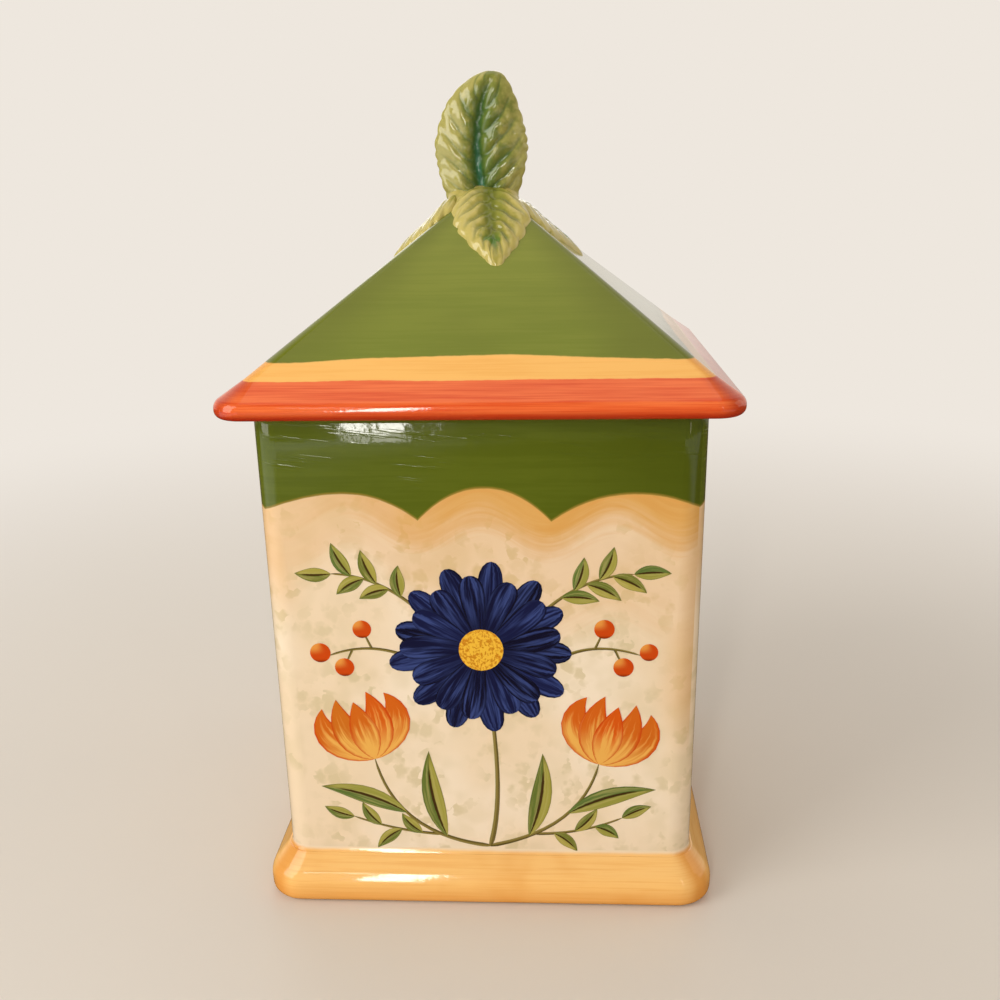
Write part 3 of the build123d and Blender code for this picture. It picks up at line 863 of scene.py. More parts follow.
def make_knob():
    clay, layer = leaf_clay(KNOB_SHAPE, KNOB_LENGTH)
    for vert in clay.verts:
        across, along = vert[layer["across"]], vert[layer["along"]]
        ruffle = KNOB_RUFFLE * math.sin(2 * math.pi * (3.4 * along + 0.3 * across)) * across**2
        vert.co.y -= KNOB_CURL * across**2 + ruffle
        vert.co.x += KNOB_MIDDLE + KNOB_TIP_BEND * along**7
        vert.co.z += KNOB_FOOT_Z
    piece = finish_piece("knob_leaf_sculpted", clay, KNOB_GLAZE, "lid")
    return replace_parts(piece, "knob_leaf")


knob = make_knob()
print(knob.name, len(knob.data.polygons), "faces")

# %% [markdown]
# ## The neck under the knob
# Below the leaf a flared neck spreads over the peak, where the potter smoothed the clay of the five
# leaves together. A spin would make it round, but it is a slim oval at the top and follows the square
# roof at its foot. So a grid is wrapped into a band, and each point is blended from the oval to the
# square.

# %% Knob neck
NECK_TOP = Vector((12.2, 2.4, 242.0))  # half widths from side to side and from front to back, and height
NECK_FOOT_OUT = 15.0
NECK_SUNK = 0.8  # how deep its foot lies in the roof
NECK_ACROSS = 0.7  # the neck is glazed like a leaf at this share of the way to its rim


def roof_height(across, out, rounding=2.0):
    """The height of the pyramid at a place, with softened hips."""
    gap = abs(across) - abs(out)
    farther = (abs(across) + abs(out) + math.sqrt(gap**2 + rounding**2)) / 2
    return APEX_Z - ROOF_SLOPE * farther


def wrapped_grid(clay, around, up, place):
    """A grid bent into a closed band. place gives the point for a share of the round and of the height."""
    band = bmesh.ops.create_grid(clay, x_segments=around, y_segments=up, size=1.0)["verts"]
    for vert in band:
        vert.co = place((vert.co.x + 1) / 2, (vert.co.y + 1) / 2)
    bmesh.ops.remove_doubles(clay, verts=band, dist=1e-3)


def neck_point(turn, up):
    """A point on the neck: a slim oval at the top that spreads into a square over the peak."""
    way = Vector((math.cos(turn * 2 * math.pi), math.sin(turn * 2 * math.pi)))
    square = way * NECK_FOOT_OUT / (abs(way.x) ** 5 + abs(way.y) ** 5) ** 0.2
    spread_x, spread_y = (1 - up) ** 1.7, (1 - up) ** 0.8
    foot = roof_height(square.x, square.y) - NECK_SUNK
    return Vector((
        (way.x * NECK_TOP.x + KNOB_MIDDLE) * (1 - spread_x) + square.x * spread_x,
        way.y * NECK_TOP.y * (1 - spread_y) + square.y * spread_y,
        foot + (NECK_TOP.z - foot) * up,
    ))


def make_neck():
    clay = bmesh.new()
    layer = {name: clay.verts.layers.float.new(name) for name in ("across", "along", "groove")}
    wrapped_grid(clay, around=64, up=16, place=neck_point)
    for vert in clay.verts:
        vert[layer["across"]] = NECK_ACROSS
    bmesh.ops.holes_fill(clay, edges=clay.edges[:], sides=0)
    bmesh.ops.recalc_face_normals(clay, faces=clay.faces[:])
    return finish_piece("knob_neck", clay, DRAPE_GLAZE, "lid")


neck = make_neck()
print(neck.name, len(neck.data.polygons), "faces")

# %% [markdown]
# ## The draped leaves
# The other four hang down the slopes. Each one starts high against the knob, bends over the peak and lies
# on the roof, half its thickness sunk in where the real one is luted on with slip. A Shrinkwrap modifier
# could lay a flat leaf on the roof, but the roof is simple enough to work out: its height falls with the
# larger of the two distances from the axis. So each point of the leaf is moved out along its slope and
# dropped to that height, and where the leaf is wider than the slope it drapes over the hips by itself.

# %% Draped leaves
DRAPE_TIP_OUT = 34.2
DRAPE_WIDTH = 28.0
DRAPE_ASIDE = 1.4  # how far each leaf lies to the right of the middle of its slope
DRAPE_LEAN = 3.2  # how much farther its tip does
# How far out each leaf starts, and how high above the roof
DRAPE_START = {"front": (5.0, 2.0), "right": (10.5, 2.2), "back": (5.0, 2.0), "left": (10.5, 4.0)}
DRAPE_BASE = {"front": 0.12, "right": 0.38, "back": 0.12, "left": 0.34}
DRAPE_THICKNESS = {"front": 6.6, "right": 4.8, "back": 6.6, "left": 6.2}
DRAPE_RELIEF = {"front": 0.26, "right": 0.04, "back": 0.26, "left": 0.04}
DRAPE_SETTLE = 15.0  # how far out from its start a leaf has come to lie on the slope


def make_draped_leaf(side, turn):
    start_out, start_rise = DRAPE_START[side]
    shape = LeafShape(
        DRAPE_WIDTH, DRAPE_THICKNESS[side], outline=(0.34, DRAPE_BASE[side], 0.85, 0.27), lobes=(6, 0.09),
        veins=(7, 0.28, 0.5, DRAPE_RELIEF[side], 0.6), cushions=(0.15, 0.15 * DRAPE_RELIEF[side]),
        midrib=(3.0, 0.35, 0.5), fall=0.15, taper=0.2,
    )
    clay, layer = leaf_clay(shape, 1.0)
    for vert in clay.verts:
        along = vert[layer["along"]]
        out = start_out + (DRAPE_TIP_OUT - start_out) * along
        rise = start_rise * max(0.0, 1 - (out - start_out) / DRAPE_SETTLE) ** 2
        rise *= 1 - abs(vert[layer["across"]]) ** 3
        across = vert.co.x + DRAPE_ASIDE + DRAPE_LEAN * along**1.5
        proud = -vert.co.y / slope_normal.z
        vert.co = (across, -out, roof_height(across, out) + rise + proud)
    bmesh.ops.recalc_face_normals(clay, faces=clay.faces[:])
    bmesh.ops.rotate(clay, matrix=Matrix.Rotation(turn, 3, "Z"), verts=clay.verts[:])
    piece = finish_piece(f"draped_leaf_{side}_sculpted", clay, DRAPE_GLAZE, "lid")
    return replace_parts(piece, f"draped_leaf_{side}")


for quarter, side in enumerate(DRAPE_START):
    make_draped_leaf(side, quarter * math.pi / 2)
print("draped leaves on", len(DRAPE_START), "slopes")

# %% [markdown]
# ## The joint between wall and foot
# The jar is luted to its plinth, and the potter drew a finger along the joint: slip and glaze fill the
# corner with a small cove, which catches a line of light. Bevelling the cast meshes can't make it,
# because they are two bodies of loose triangles. So the cove is a band of its own, a grid wrapped round
# the wall, whose section bends from the wall to the shoulder of the plinth, and solidify closes it. Its
# paint is the plinth's, which stops short of the top.

# %% Cove
COVE_SIZE = 2.6  # how far it reaches up the wall and out over the shoulder
COVE_SUNK = 0.12  # how deep its edges lie in the cast pieces
COVE_WALL = 0.3
COVE_CORNER = 8.0  # the radius of its corners
SHARP_ANGLE = math.radians(40)  # edges that turn more than this stay sharp
cove_wall = -probe("jar_body", (0, -200, plinth_high.z / MM + COVE_SIZE), (0, 1, 0))[0].y
cove_foot = probe("base_plinth", (0, -cove_wall - COVE_SIZE, 100), (0, 0, -1))[0].z
cove_angle = probe("base_plinth", (0, -cove_wall - 0.6, 100), (0, 0, -1))[0].z


def on_rounded_square(turn, half, radius):
    """A point on a rounded square, for a share of the round, and the way out from there."""
    straight, bend = 2 * (half - radius), math.pi / 2 * radius
    side, walked = divmod(turn * 4 * (straight + bend), straight + bend)
    swing = max(0.0, walked - straight) / radius
    point = Vector((min(walked, straight) - half + radius, radius - half))
    way = Vector((math.sin(swing), -math.cos(swing)))
    quarter = Matrix.Rotation(side * math.pi / 2, 2)
    return quarter @ (point + way * radius), quarter @ way


def cove_point(turn, up):
    """A point on the cove: a bend from the shoulder, up 0, to the wall, up 1."""
    point, way = on_rounded_square(turn, cove_wall, COVE_CORNER)
    low, high = (1 - up) ** 2, up**2
    out = COVE_SIZE * low - COVE_SUNK * high
    height = (cove_foot - COVE_SUNK) * low + cove_angle * 2 * up * (1 - up)
    height += (plinth_high.z / MM + COVE_SIZE) * high
    place = point + way * out
    return Vector((place.x, place.y, height))


def make_cove():
    clay = bmesh.new()
    wrapped_grid(clay, around=320, up=8, place=cove_point)
    bmesh.ops.solidify(clay, geom=clay.faces[:], thickness=COVE_WALL)
    piece = finish_piece("plinth_cove", clay, PLINTH_GLAZE, "jar")
    piece.data.set_sharp_from_angle(angle=SHARP_ANGLE)
    return piece


cove = make_cove()
cove_top = plinth_high.z / MM + COVE_SIZE
print("cove:", round(cove_foot, 2), "to", round(cove_top, 2), "mm,", len(cove.data.polygons), "faces")

# %% [markdown]
# ## Painting on the walls
# The flowers are brushwork: every leaf and petal is one or two strokes of a loaded brush. They could be
# drawn in the jar's material, but a hundred strokes would make a very large tree. So each stroke is a
# thin plate of slip, a tenth of a millimetre proud of the wall: a narrow grid, laid along a path, as wide
# as the brush was pressed. Each point remembers how far along and across its stroke it is, and each
# stroke gets a tone of its own. First comes the wall: it leans out a little, so a probe measures it, and a
# class turns places on it into points.

# %% Walls to paint on
wall_point, wall_normal = probe("jar_body", (0, -200, 90), (0, 1, 0))
SLIP_THICKNESS = 0.4  # most of it sunk in the wall


class Wall:
    """One side of the jar: turns places on it, in millimetres along and up, into points."""

    def __init__(self, quarter):
        self.turn = Matrix.Rotation(quarter * math.pi / 2, 3, "Z")
        self.chance = random.Random(40 + quarter)

    def point(self, place, lift):
        depth = wall_point.y - (place.y - wall_point.z) * wall_normal.z / wall_normal.y
        return self.turn @ Vector((place.x, depth - lift, place.y))

    def near(self, along, up, shake=0.7):
        """A place on the wall, as exact as a hand is."""
        return Vector((along + self.chance.uniform(-shake, shake), up + self.chance.uniform(-shake, shake)))


print("wall leans", round(math.degrees(math.asin(-wall_normal.z)), 2), "degrees outwards")

# %% [markdown]
# ## Laying a stroke
# A stroke follows a path. Blender's curve objects could carry it, but then every stroke would be an
# object to convert, so the path is a small function: it blends each pair of neighbouring points, then
# each pair of the blends, until one point is left. The stroke's grid is laid along it and spread as wide
# as the brush was pressed.

# %% Laying a stroke
STROKE_NUMBERS = ("along", "across", "tone")
PAINTINGS = {}


def curve(*points):
    """A smooth path through the first and last point, drawn towards those between."""

    def at(share):
        level = [Vector(point) for point in points]
        while len(level) > 1:
            level = [first.lerp(second, share) for first, second in zip(level, level[1:])]
        return level[0]

    return at


def heading(path, share):
    return (path(min(1.0, share + 0.02)) - path(max(0.0, share - 0.02))).normalized()


def lay_stroke(family, wall, path, half_width, lift, rows=13):
    """One stroke on a wall. half_width gives the brush's width from the start of the path to its end."""
    slip = PAINTINGS.setdefault(family, bmesh.new())
    layer = {}
    for name in STROKE_NUMBERS:
        layer[name] = slip.verts.layers.float.get(name) or slip.verts.layers.float.new(name)
    tone = wall.chance.random()
    for vert in bmesh.ops.create_grid(slip, x_segments=2, y_segments=rows, size=1.0)["verts"]:
        along, across = (1 - math.cos((vert.co.y + 1) / 2 * math.pi)) / 2, vert.co.x
        run = heading(path, along)
        place = path(along) + Vector((run.y, -run.x)) * across * max(half_width(along), 0.02)
        vert[layer["along"]], vert[layer["across"]], vert[layer["tone"]] = along, across, tone
        vert.co = wall.point(place, lift)


print("each stroke carries:", ", ".join(STROKE_NUMBERS))

# %% [markdown]
# ## The motifs
# A pressed brush makes a few shapes: a lance for a leaf, a drop for a petal, a round dab and a thin line.
# Each is a function that gives the brush's width along a stroke. Leaves, berries and sprigs come straight
# from these: a sprig is a line with lances on both sides.

# %% Leaves, dabs and sprigs
def lance(width):
    return lambda share: width * math.sin(math.pi * share**0.85) ** 0.9


def drop(width):
    return lambda share: width * (0.22 + 0.78 * share**0.8) * math.sqrt(1 - share**5)


def dab(width):
    return lambda share: width * math.sqrt(max(0.0, 1 - (2 * share - 1) ** 2))


def line(width):
    return lambda share: width * (1 - 0.45 * share) * min(1.0, 12 * share + 0.5, 12 * (1 - share) + 0.3)


def paint_leaf(wall, base, tip, bend, width):
    """A lance leaf that bends to its left, or to its right if bend is negative."""
    run = tip - base
    middle = base.lerp(tip, 0.5) + Vector((-run.y, run.x)).normalized() * bend
    lay_stroke("leaves", wall, curve(base, middle, tip), lance(width), 0.08 + wall.chance.random() * 0.01)


def paint_dab(family, wall, middle, radius, lift):
    reach = Vector((0, radius))
    lay_stroke(family, wall, curve(middle - reach, middle + reach), dab(radius), lift)


def paint_sprig(wall, path, leaves, length, width):
    """A thin stem with leaves to both sides in turn, and one at its end."""
    lay_stroke("stems", wall, path, line(0.6), 0.05, rows=20)
    for step in range(leaves):
        share = 0.22 + 0.7 * step / leaves
        side = 1 if step % 2 else -1
        run = Matrix.Rotation(side * math.radians(wall.chance.uniform(38, 52)), 2) @ heading(path, share)
        base = path(share)
        paint_leaf(wall, base, base + run * length * wall.chance.uniform(0.85, 1.1), -side * 1.6, width)
    end = path(1.0)
    paint_leaf(wall, end, end + heading(path, 1.0) * length, 1.0, width)


print("brush shapes:", ", ".join(shape.__name__ for shape in (lance, drop, dab, line)))

# %% [markdown]
# ## Daisies and tulips
# The flowers are put together from drops and lances, as folk painters do everywhere: a daisy has two rows
# of drops round a dabbed eye, and a tulip has five lances from one point. An array modifier would repeat
# one petal exactly, so each petal is laid by itself, and those of a daisy differ a little in length and
# bend.

# %% Daisies and tulips
TULIP_PETALS = ((-0.62, 0.92), (0.62, 0.92), (-0.3, 1.0), (0.3, 1.0), (0.0, 0.9))  # spread and reach


def paint_daisy(wall, middle, radius, petals):
    for row, reach in enumerate((1.0, 0.86)):
        for step in range(petals):
            angle = 2 * math.pi * (step + 0.5 * row) / petals + wall.chance.uniform(-0.07, 0.07)
            out = Vector((math.cos(angle), math.sin(angle)))
            aside = Vector((-out.y, out.x)) * wall.chance.uniform(-2.0, 2.0)
            tip = middle + out * radius * reach * wall.chance.uniform(0.94, 1.04)
            path = curve(middle + out * 3.0, middle + out * radius * 0.5 + aside, tip)
            lay_stroke("daisy_petals", wall, path, drop(radius * 0.185), 0.1 + 0.03 * row + 0.002 * step)
    paint_dab("daisy_eyes", wall, middle, radius * 0.24, 0.19)


def paint_tulip(wall, base, upright, size):
    """A tulip seen from the side, opening in a given direction."""
    aside = Vector((upright.y, -upright.x))
    for step, (spread, reach) in enumerate(TULIP_PETALS):
        tip = base + upright * size * reach + aside * spread * size * 0.72
        middle = base + upright * size * 0.45 + aside * spread * size * 1.15
        lay_stroke("tulips", wall, curve(base, middle, tip), lance(size * 0.2), 0.1 + 0.015 * step)


print("a tulip has", len(TULIP_PETALS), "petals")

# %% [markdown]
# ## One wall after the other
# Each of the four walls gets the same bouquet, but no two strokes are alike: the chance of each wall has
# its own seed, so the shake of the hand differs from wall to wall and yet is the same every time the
# script runs.

# %% Bouquets
def paint_bouquet(wall):
    foot, daisy = wall.near(1, 19), wall.near(0, 95)
    lay_stroke("stems", wall, curve(foot, wall.near(7, 42), daisy), line(0.95), 0.06, rows=20)
    for side in (-1, 1):
        tulip = wall.near(side * 38, 53)
        stem = curve(foot, wall.near(side * 16, 22), wall.near(side * 34, 30), tulip)
        lay_stroke("stems", wall, stem, line(0.8), 0.055, rows=20)
        paint_tulip(wall, tulip, Vector((side * 0.3, 1)).normalized(), 25.0)
        paint_leaf(wall, stem(0.3), wall.near(side * 19, 56), side * -4.0, 3.6)
        paint_leaf(wall, stem(0.62), wall.near(side * 58, 42), side * 4.0, 3.4)
        low = curve(stem(0.34), wall.near(side * 32, 25), wall.near(side * 47, 31))
        paint_sprig(wall, low, 3, 11.0, 2.3)
        high = curve(wall.near(side * 20, 108), wall.near(side * 34, 122), wall.near(side * 50, 121))
        paint_sprig(wall, high, 5, 12.0, 2.5)
        flank = curve(wall.near(side * 26, 92), wall.near(side * 38, 98), wall.near(side * 52, 93))
        lay_stroke("stems", wall, flank, line(0.6), 0.05, rows=20)
        for share, up in ((0.45, 7.0), (0.7, -6.5), (1.0, 1.0)):
            berry = flank(share) + Vector((side * 3.0, up))
            lay_stroke("stems", wall, curve(flank(share), berry), line(0.45), 0.05)
            paint_dab("berries", wall, berry, wall.chance.uniform(3.0, 3.6), 0.1)
    paint_daisy(wall, daisy, 31.0, 13)


for quarter in range(4):
    paint_bouquet(Wall(quarter))
print("faces of the brushwork:", {family: len(slip.faces) for family, slip in PAINTINGS.items()})

# %% [markdown]
# ## The colours of the brushwork
# Underglaze colours keep the marks of the hairs: streaks along each stroke, full at its edges and thin
# where the brush lifted. Noise on the object's own coordinates would cut across the strokes. So a group
# makes the streaks from the numbers that each stroke carries, and they follow every curve.

# %% Hairs in a stroke
def make_stroke_hairs():
    """The marks of the brush's hairs along a stroke: 0 where the colour is full, 1 where it is thin."""
    takes = {"Along": "number", "Across": "number", "Tone": "number"}
    group, recipe, taken, given = new_group("stroke_hairs", takes, {"Hairs": "number"})
    side = recipe.math("MULTIPLY", taken["Across"], 4.0)
    run = recipe.math("MULTIPLY", taken["Along"], 1.6)
    hairs = recipe.noise(recipe.joined(side, run, recipe.math("MULTIPLY", taken["Tone"], 90.0)), 1.0, 3.0)
    recipe.feed(given["Hairs"], recipe.fade(hairs, 0.4, 0.7))
    return group


STROKE_HAIRS = make_stroke_hairs()


def start_brushwork(name):
    material, recipe, shader, _ = start_glaze(name)
    along, across, tone = (recipe.attribute(number) for number in STROKE_NUMBERS)
    hairs = recipe.use(STROKE_HAIRS, along=along, across=across, tone=tone)["Hairs"]
    return material, recipe, shader.inputs["Base Color"], along, across, tone, hairs


print("group", STROKE_HAIRS.name, "has", len(STROKE_HAIRS.nodes), "nodes")

# %% [markdown]
# ## Stems and leaves
# A leaf is one press of a brush that was loaded with two greens at once, so its two halves differ, and a
# dark midrib is drawn over it. A stem is a thin line of olive brown. Both could be plain colours with an
# outline, but the halves, the hairs and the darker tip are what makes them look painted.

# %% Stem and leaf paint
def make_stem_paint():
    material, recipe, colour, along, across, tone, hairs = start_brushwork("stem_paint")
    brown = recipe.mix(recipe.fade(across, -0.6, 0.6), paint(136, 122, 62), paint(84, 72, 32))
    recipe.feed(colour, recipe.mix(recipe.math("MULTIPLY", hairs, 0.4), brown, paint(168, 146, 84)))
    return material


def make_leaf_paint():
    material, recipe, colour, along, across, tone, hairs = start_brushwork("leaf_paint")
    light = recipe.mix(tone, paint(170, 160, 74), paint(148, 148, 66))
    dark = recipe.mix(tone, paint(112, 118, 48), paint(84, 112, 52))
    green = recipe.mix(recipe.fade(across, -0.12, 0.12), dark, light)
    green = recipe.mix(recipe.math("MULTIPLY", hairs, 0.45), green, paint(196, 182, 112))
    green = recipe.mix(recipe.fade(along, 0.82, 1.0, 0.0, 0.7), green, paint(92, 96, 36))
    size = recipe.math("ABSOLUTE", across)
    green = recipe.mix(recipe.fade(size, 0.82, 1.0, 0.0, 0.5), green, paint(98, 98, 36))
    rib = recipe.math("MULTIPLY", recipe.fade(size, 0.2, 0.1), recipe.fade(along, 0.9, 0.7))
    recipe.feed(colour, recipe.mix(rib, green, paint(66, 46, 20)))
    return material


STROKE_PAINTS = {"stems": make_stem_paint(), "leaves": make_leaf_paint()}
print("paints:", ", ".join(STROKE_PAINTS))

# %% [markdown]
# ## Flowers and berries
# A daisy's petal is navy with paler blue hairs in it, and its eye is stippled in two yellows. A tulip
# goes from red-orange edges to a yellow heart, feathered by the hairs, and a berry has a pale side where
# the brush turned. Each gets a material of its own, because each mixes its colours in another way.

# %% Flower and berry paint
def make_daisy_paint():
    material, recipe, colour, along, across, tone, hairs = start_brushwork("daisy_petal_paint")
    navy = recipe.mix(tone, paint(8, 10, 34), paint(20, 28, 70))
    streaks = recipe.math("MULTIPLY", hairs, recipe.fade(along, 0.15, 0.7, 0.15, 0.75))
    blue = recipe.mix(streaks, navy, paint(66, 84, 148))
    edge = recipe.fade(recipe.math("ABSOLUTE", across), 0.75, 1.0, 0.0, 0.7)
    recipe.feed(colour, recipe.mix(edge, blue, paint(6, 8, 26)))
    return material


def make_eye_paint():
    material, recipe, colour, along, across, tone, hairs = start_brushwork("daisy_eye_paint")
    up = recipe.math("SUBTRACT", recipe.math("MULTIPLY", along, 2.0), 1.0)
    stipple = recipe.fade(recipe.noise(recipe.joined(across, up, tone), 9.0, 2.0), 0.45, 0.6)
    yellow = recipe.mix(stipple, paint(240, 190, 62), paint(206, 132, 30))
    recipe.feed(colour, yellow)
    return material


def make_tulip_paint():
    material, recipe, colour, along, across, tone, hairs = start_brushwork("tulip_paint")
    orange = recipe.mix(tone, paint(216, 88, 16), paint(206, 112, 30))
    feather = recipe.math("ADD", along, recipe.math("MULTIPLY", hairs, -0.35))
    orange = recipe.mix(recipe.fade(feather, 0.6, 0.1, 0.0, 0.85), orange, paint(240, 186, 92))
    edge = recipe.fade(recipe.math("ABSOLUTE", across), 0.7, 1.0, 0.0, 0.8)
    recipe.feed(colour, recipe.mix(edge, orange, paint(202, 62, 10)))
    return material


def make_berry_paint():
    material, recipe, colour, along, across, tone, hairs = start_brushwork("berry_paint")
    shine = recipe.math("MULTIPLY", recipe.fade(along, 0.35, 0.8), recipe.fade(across, 0.6, -0.6))
    orange = recipe.mix(recipe.math("MULTIPLY", shine, 0.8), paint(204, 72, 14), paint(236, 164, 74))
    recipe.feed(colour, recipe.mix(recipe.fade(along, 0.2, 0.0), orange, paint(120, 40, 10)))
    return material


STROKE_PAINTS["daisy_petals"] = make_daisy_paint()
STROKE_PAINTS["daisy_eyes"] = make_eye_paint()
STROKE_PAINTS["tulips"] = make_tulip_paint()
STROKE_PAINTS["berries"] = make_berry_paint()
print("paints:", ", ".join(STROKE_PAINTS))

# %% [markdown]
# ## From strokes to plates
# So far each stroke is a sheet that floats just off the wall. A Solidify modifier could give it a body,
# but the operator does the same on the workbench: the sheet becomes a closed plate, and most of it is
# sunk in the wall. Edges sharper than 40 degrees stay sharp, so that a plate's face is shaded flat up to
# its rim.

# %% Painted plates
for family, slip in PAINTINGS.items():
    bmesh.ops.solidify(slip, geom=slip.faces[:], thickness=SLIP_THICKNESS)
    piece = finish_piece(f"painted_{family}", slip, STROKE_PAINTS[family], "jar")
    piece.data.set_sharp_from_angle(angle=SHARP_ANGLE)
    print(piece.name, len(piece.data.polygons), "faces")

# %% [markdown]
# ## The floor
# A pale floor fades into a pale background, so that no horizon cuts behind the canister. It can be looked
# through from below and has a hole under the foot, so that the underside gets light and can be seen.
# A grid of nine squares already has one in its middle: its points are moved out to the edges of the floor
# and of the hole, and the middle square is deleted.

# %% Floor sheet
FLOOR_HALF = 3.0
FLOOR_HOLE_HALF = 0.067  # half the width of the square hole, whose edge the foot covers
FLOOR_Z = 0.00002  # a hair above the bottom of the foot


def make_floor():
    sheet = bmesh.new()
    bmesh.ops.create_grid(sheet, x_segments=3, y_segments=3, size=1.0)
    for vert in sheet.verts:
        x, y = (math.copysign(FLOOR_HALF if abs(n) > 0.5 else FLOOR_HOLE_HALF, n) for n in vert.co.xy)
        vert.co = (x, y, FLOOR_Z)
    hole = [face for face in sheet.faces if face.calc_center_median().xy.length < FLOOR_HOLE_HALF]
    bmesh.ops.delete(sheet, geom=hole, context="FACES_ONLY")
    mesh = bpy.data.meshes.new("floor")
    sheet.to_mesh(mesh)
    sheet.free()
    floor = bpy.data.objects.new("floor", mesh)
    bpy.context.scene.collection.objects.link(floor)
    return floor


FLOOR = make_floor()
print("floor:", 2 * FLOOR_HALF, "m wide, with a hole", round(2 * FLOOR_HOLE_HALF / MM), "mm wide")

# %% [markdown]
# ## What the floor shows
# The floor catches the canister's shadow near it, and farther off it turns into the background. The glaze
# is a mirror, though, and a glossy pot in a white box would look grey all over. So rays from the glaze
# meet a darker table, with the glare of the windows on it: that is the veil on the left of the green band
# and the streaks along the corners. Light Path tells the rays apart.

# %% Floor material
FLOOR_COLOUR = paint(226, 219, 210)
FLOOR_IN_GLAZE = paint(96, 76, 62)
GLARE_IN_GLAZE = paint(226, 230, 236)
GLARE_STRENGTH = 1.1
BACKGROUND = paint(238, 231, 222)
BACKGROUND_FROM_Y = (0.6, 1.2)  # where the mirrored table gives way to the background, in metres
BACKGROUND_STRENGTH = 0.75


def mirrored_table(recipe, place):
    """What the glaze sees of the floor: a dark table with glare in front, to the left and to the right."""
    x, y, _ = recipe.split(place)
    in_front = recipe.math("MULTIPLY", recipe.fade(x, -0.04, -0.26), recipe.fade(y, -0.35, -0.75, 0.0, 0.5))
    to_the_left = recipe.math("MULTIPLY", recipe.fade(x, -0.26, -0.4), recipe.fade(y, 0.1, -0.1))
    to_the_right = recipe.math("MULTIPLY", recipe.fade(x, 0.3, 0.5), recipe.fade(y, -0.2, -0.35, 0.0, 0.6))
    glare = recipe.math("MAXIMUM", in_front, recipe.math("MAXIMUM", to_the_left, to_the_right))
    table = recipe.mix(glare, FLOOR_IN_GLAZE, GLARE_IN_GLAZE)
    strength = recipe.fade(glare, 0.0, 1.0, 1.0, GLARE_STRENGTH)
    inputs = {
        "Color": recipe.mix(recipe.fade(y, *BACKGROUND_FROM_Y), table, BACKGROUND),
        "Strength": recipe.fade(y, *BACKGROUND_FROM_Y, strength, BACKGROUND_STRENGTH),
    }
    return recipe.node("ShaderNodeEmission", inputs).outputs[0]


def make_floor_material():
    material = bpy.data.materials.new("pale_floor")
    material.use_nodes = True
    recipe = Recipe(material.node_tree)
    shader = material.node_tree.nodes["Principled BSDF"]
    shader.inputs["Base Color"].default_value = FLOOR_COLOUR
    shader.inputs["Roughness"].default_value = 0.6
    ray = recipe.node("ShaderNodeLightPath", {}).outputs
    place = recipe.node("ShaderNodeTexCoord", {}).outputs["Object"]

    def blend(share, first, second):
        return recipe.node("ShaderNodeMixShader", {0: share, 1: first, 2: second}).outputs[0]

    far = recipe.node("ShaderNodeVectorMath", {0: place}, operation="LENGTH").outputs["Value"]
    faded = recipe.math("MULTIPLY", recipe.fade(far, 0.12, 0.8), ray["Is Camera Ray"])
    glow = recipe.node("ShaderNodeEmission", {"Color": BACKGROUND}).outputs[0]
    surface = blend(faded, shader.outputs[0], glow)
    surface = blend(ray["Is Glossy Ray"], surface, mirrored_table(recipe, place))
    from_below = recipe.node("ShaderNodeNewGeometry", {}).outputs["Backfacing"]
    clear = recipe.node("ShaderNodeBsdfTransparent", {}).outputs[0]
    surface = blend(from_below, surface, clear)
    recipe.feed(material.node_tree.nodes["Material Output"].inputs["Surface"], surface)
    return material


FLOOR.data.materials.append(make_floor_material())
print("floor material:", len(FLOOR.data.materials[0].node_tree.nodes), "nodes")

# %% [markdown]
# ## The room
# The world lights the canister softly from all sides and gives the camera its background. An image of a
# room could do this, but a plain colour keeps the paint true. In the glaze the room is bright behind the
# canister and dim in front, which comes closest to the reflections in the photograph.

# %% Background
ROOM_LIGHT = 0.5
ROOM_FRONT = 0.17


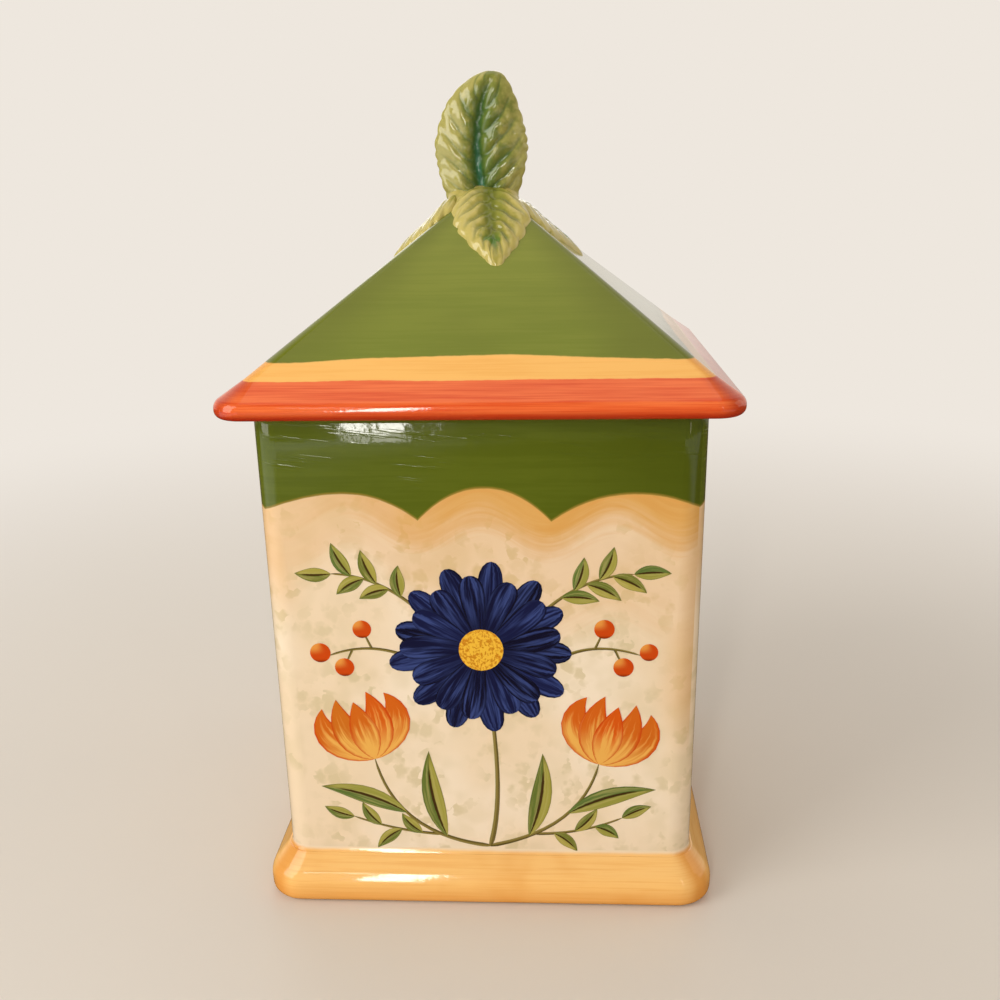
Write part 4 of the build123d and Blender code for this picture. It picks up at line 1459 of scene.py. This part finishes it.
def make_background():
    world = bpy.data.worlds.new("pale_room")
    world.use_nodes = True
    bpy.context.scene.world = world
    recipe = Recipe(world.node_tree)
    background = world.node_tree.nodes["Background"]
    background.inputs["Color"].default_value = BACKGROUND
    ray = recipe.node("ShaderNodeLightPath", {}).outputs
    direction = recipe.node("ShaderNodeTexCoord", {}).outputs["Generated"]
    mirrored = recipe.fade(recipe.split(direction)["Y"], 0.1, 0.75, ROOM_FRONT, 1.0)
    strength = recipe.fade(ray["Is Glossy Ray"], 0.0, 1.0, ROOM_LIGHT, mirrored)
    seen = recipe.math("MAXIMUM", ray["Is Camera Ray"], ray["Is Transmission Ray"])
    recipe.feed(background.inputs["Strength"], recipe.fade(seen, 0.0, 1.0, strength, 1.0))
    return world


print("world:", make_background().name)

# %% [markdown]
# ## The lights
# The main light is a tall, narrow window in front, a little to the left, with a dim foot and a dim pane
# beside it. A broad soft light stands to the left, a slim window to the right, soft fills light the right
# side and the back, and a soft panel hangs overhead. Lamps would be seen in the glaze as points, so all
# of them are rectangles, and the windows show as bright bars in the glaze.

# %% Lights
CANISTER_MIDDLE = (0, 0, 0.14)
DAYLIGHT = paint(255, 252, 246)
LAMPLIGHT = paint(255, 240, 220)


def make_panel(name, place, width, height, power, colour):
    """A rectangular soft light that faces the canister."""
    data = bpy.data.lights.new(name, "AREA")
    data.shape = "RECTANGLE"
    data.size, data.size_y = width, height
    data.energy = power
    data.color = colour[:3]
    panel = bpy.data.objects.new(name, data)
    panel.location = place
    panel.rotation_euler = (Vector(CANISTER_MIDDLE) - Vector(place)).to_track_quat("-Z", "Y").to_euler()
    bpy.context.scene.collection.objects.link(panel)


make_panel("window", (-0.235, -1.38, 0.57), 0.085, 0.76, 4.8, DAYLIGHT)
make_panel("window_foot", (-0.235, -1.38, 0.13), 0.085, 0.12, 0.2, DAYLIGHT)
make_panel("window_dim_pane", (-0.38, -1.35, 1.04), 0.16, 0.1, 0.3, DAYLIGHT)
make_panel("left", (-0.9, -0.6, 0.6), 0.7, 1.0, 7.2, DAYLIGHT)
make_panel("slim_window_right", (0.62, -1.1, 0.45), 0.05, 0.6, 0.4, LAMPLIGHT)
make_panel("fill_right", (1.35, 0.25, 0.6), 0.9, 0.9, 2.4, LAMPLIGHT)
make_panel("fill_back", (-0.2, 1.4, 0.8), 1.0, 1.0, 4.0, DAYLIGHT)
make_panel("ceiling", (0.0, 0.1, 1.5), 1.0, 1.0, 2.0, DAYLIGHT)
print("lights:", len(bpy.data.lights), "panels")

# %% [markdown]
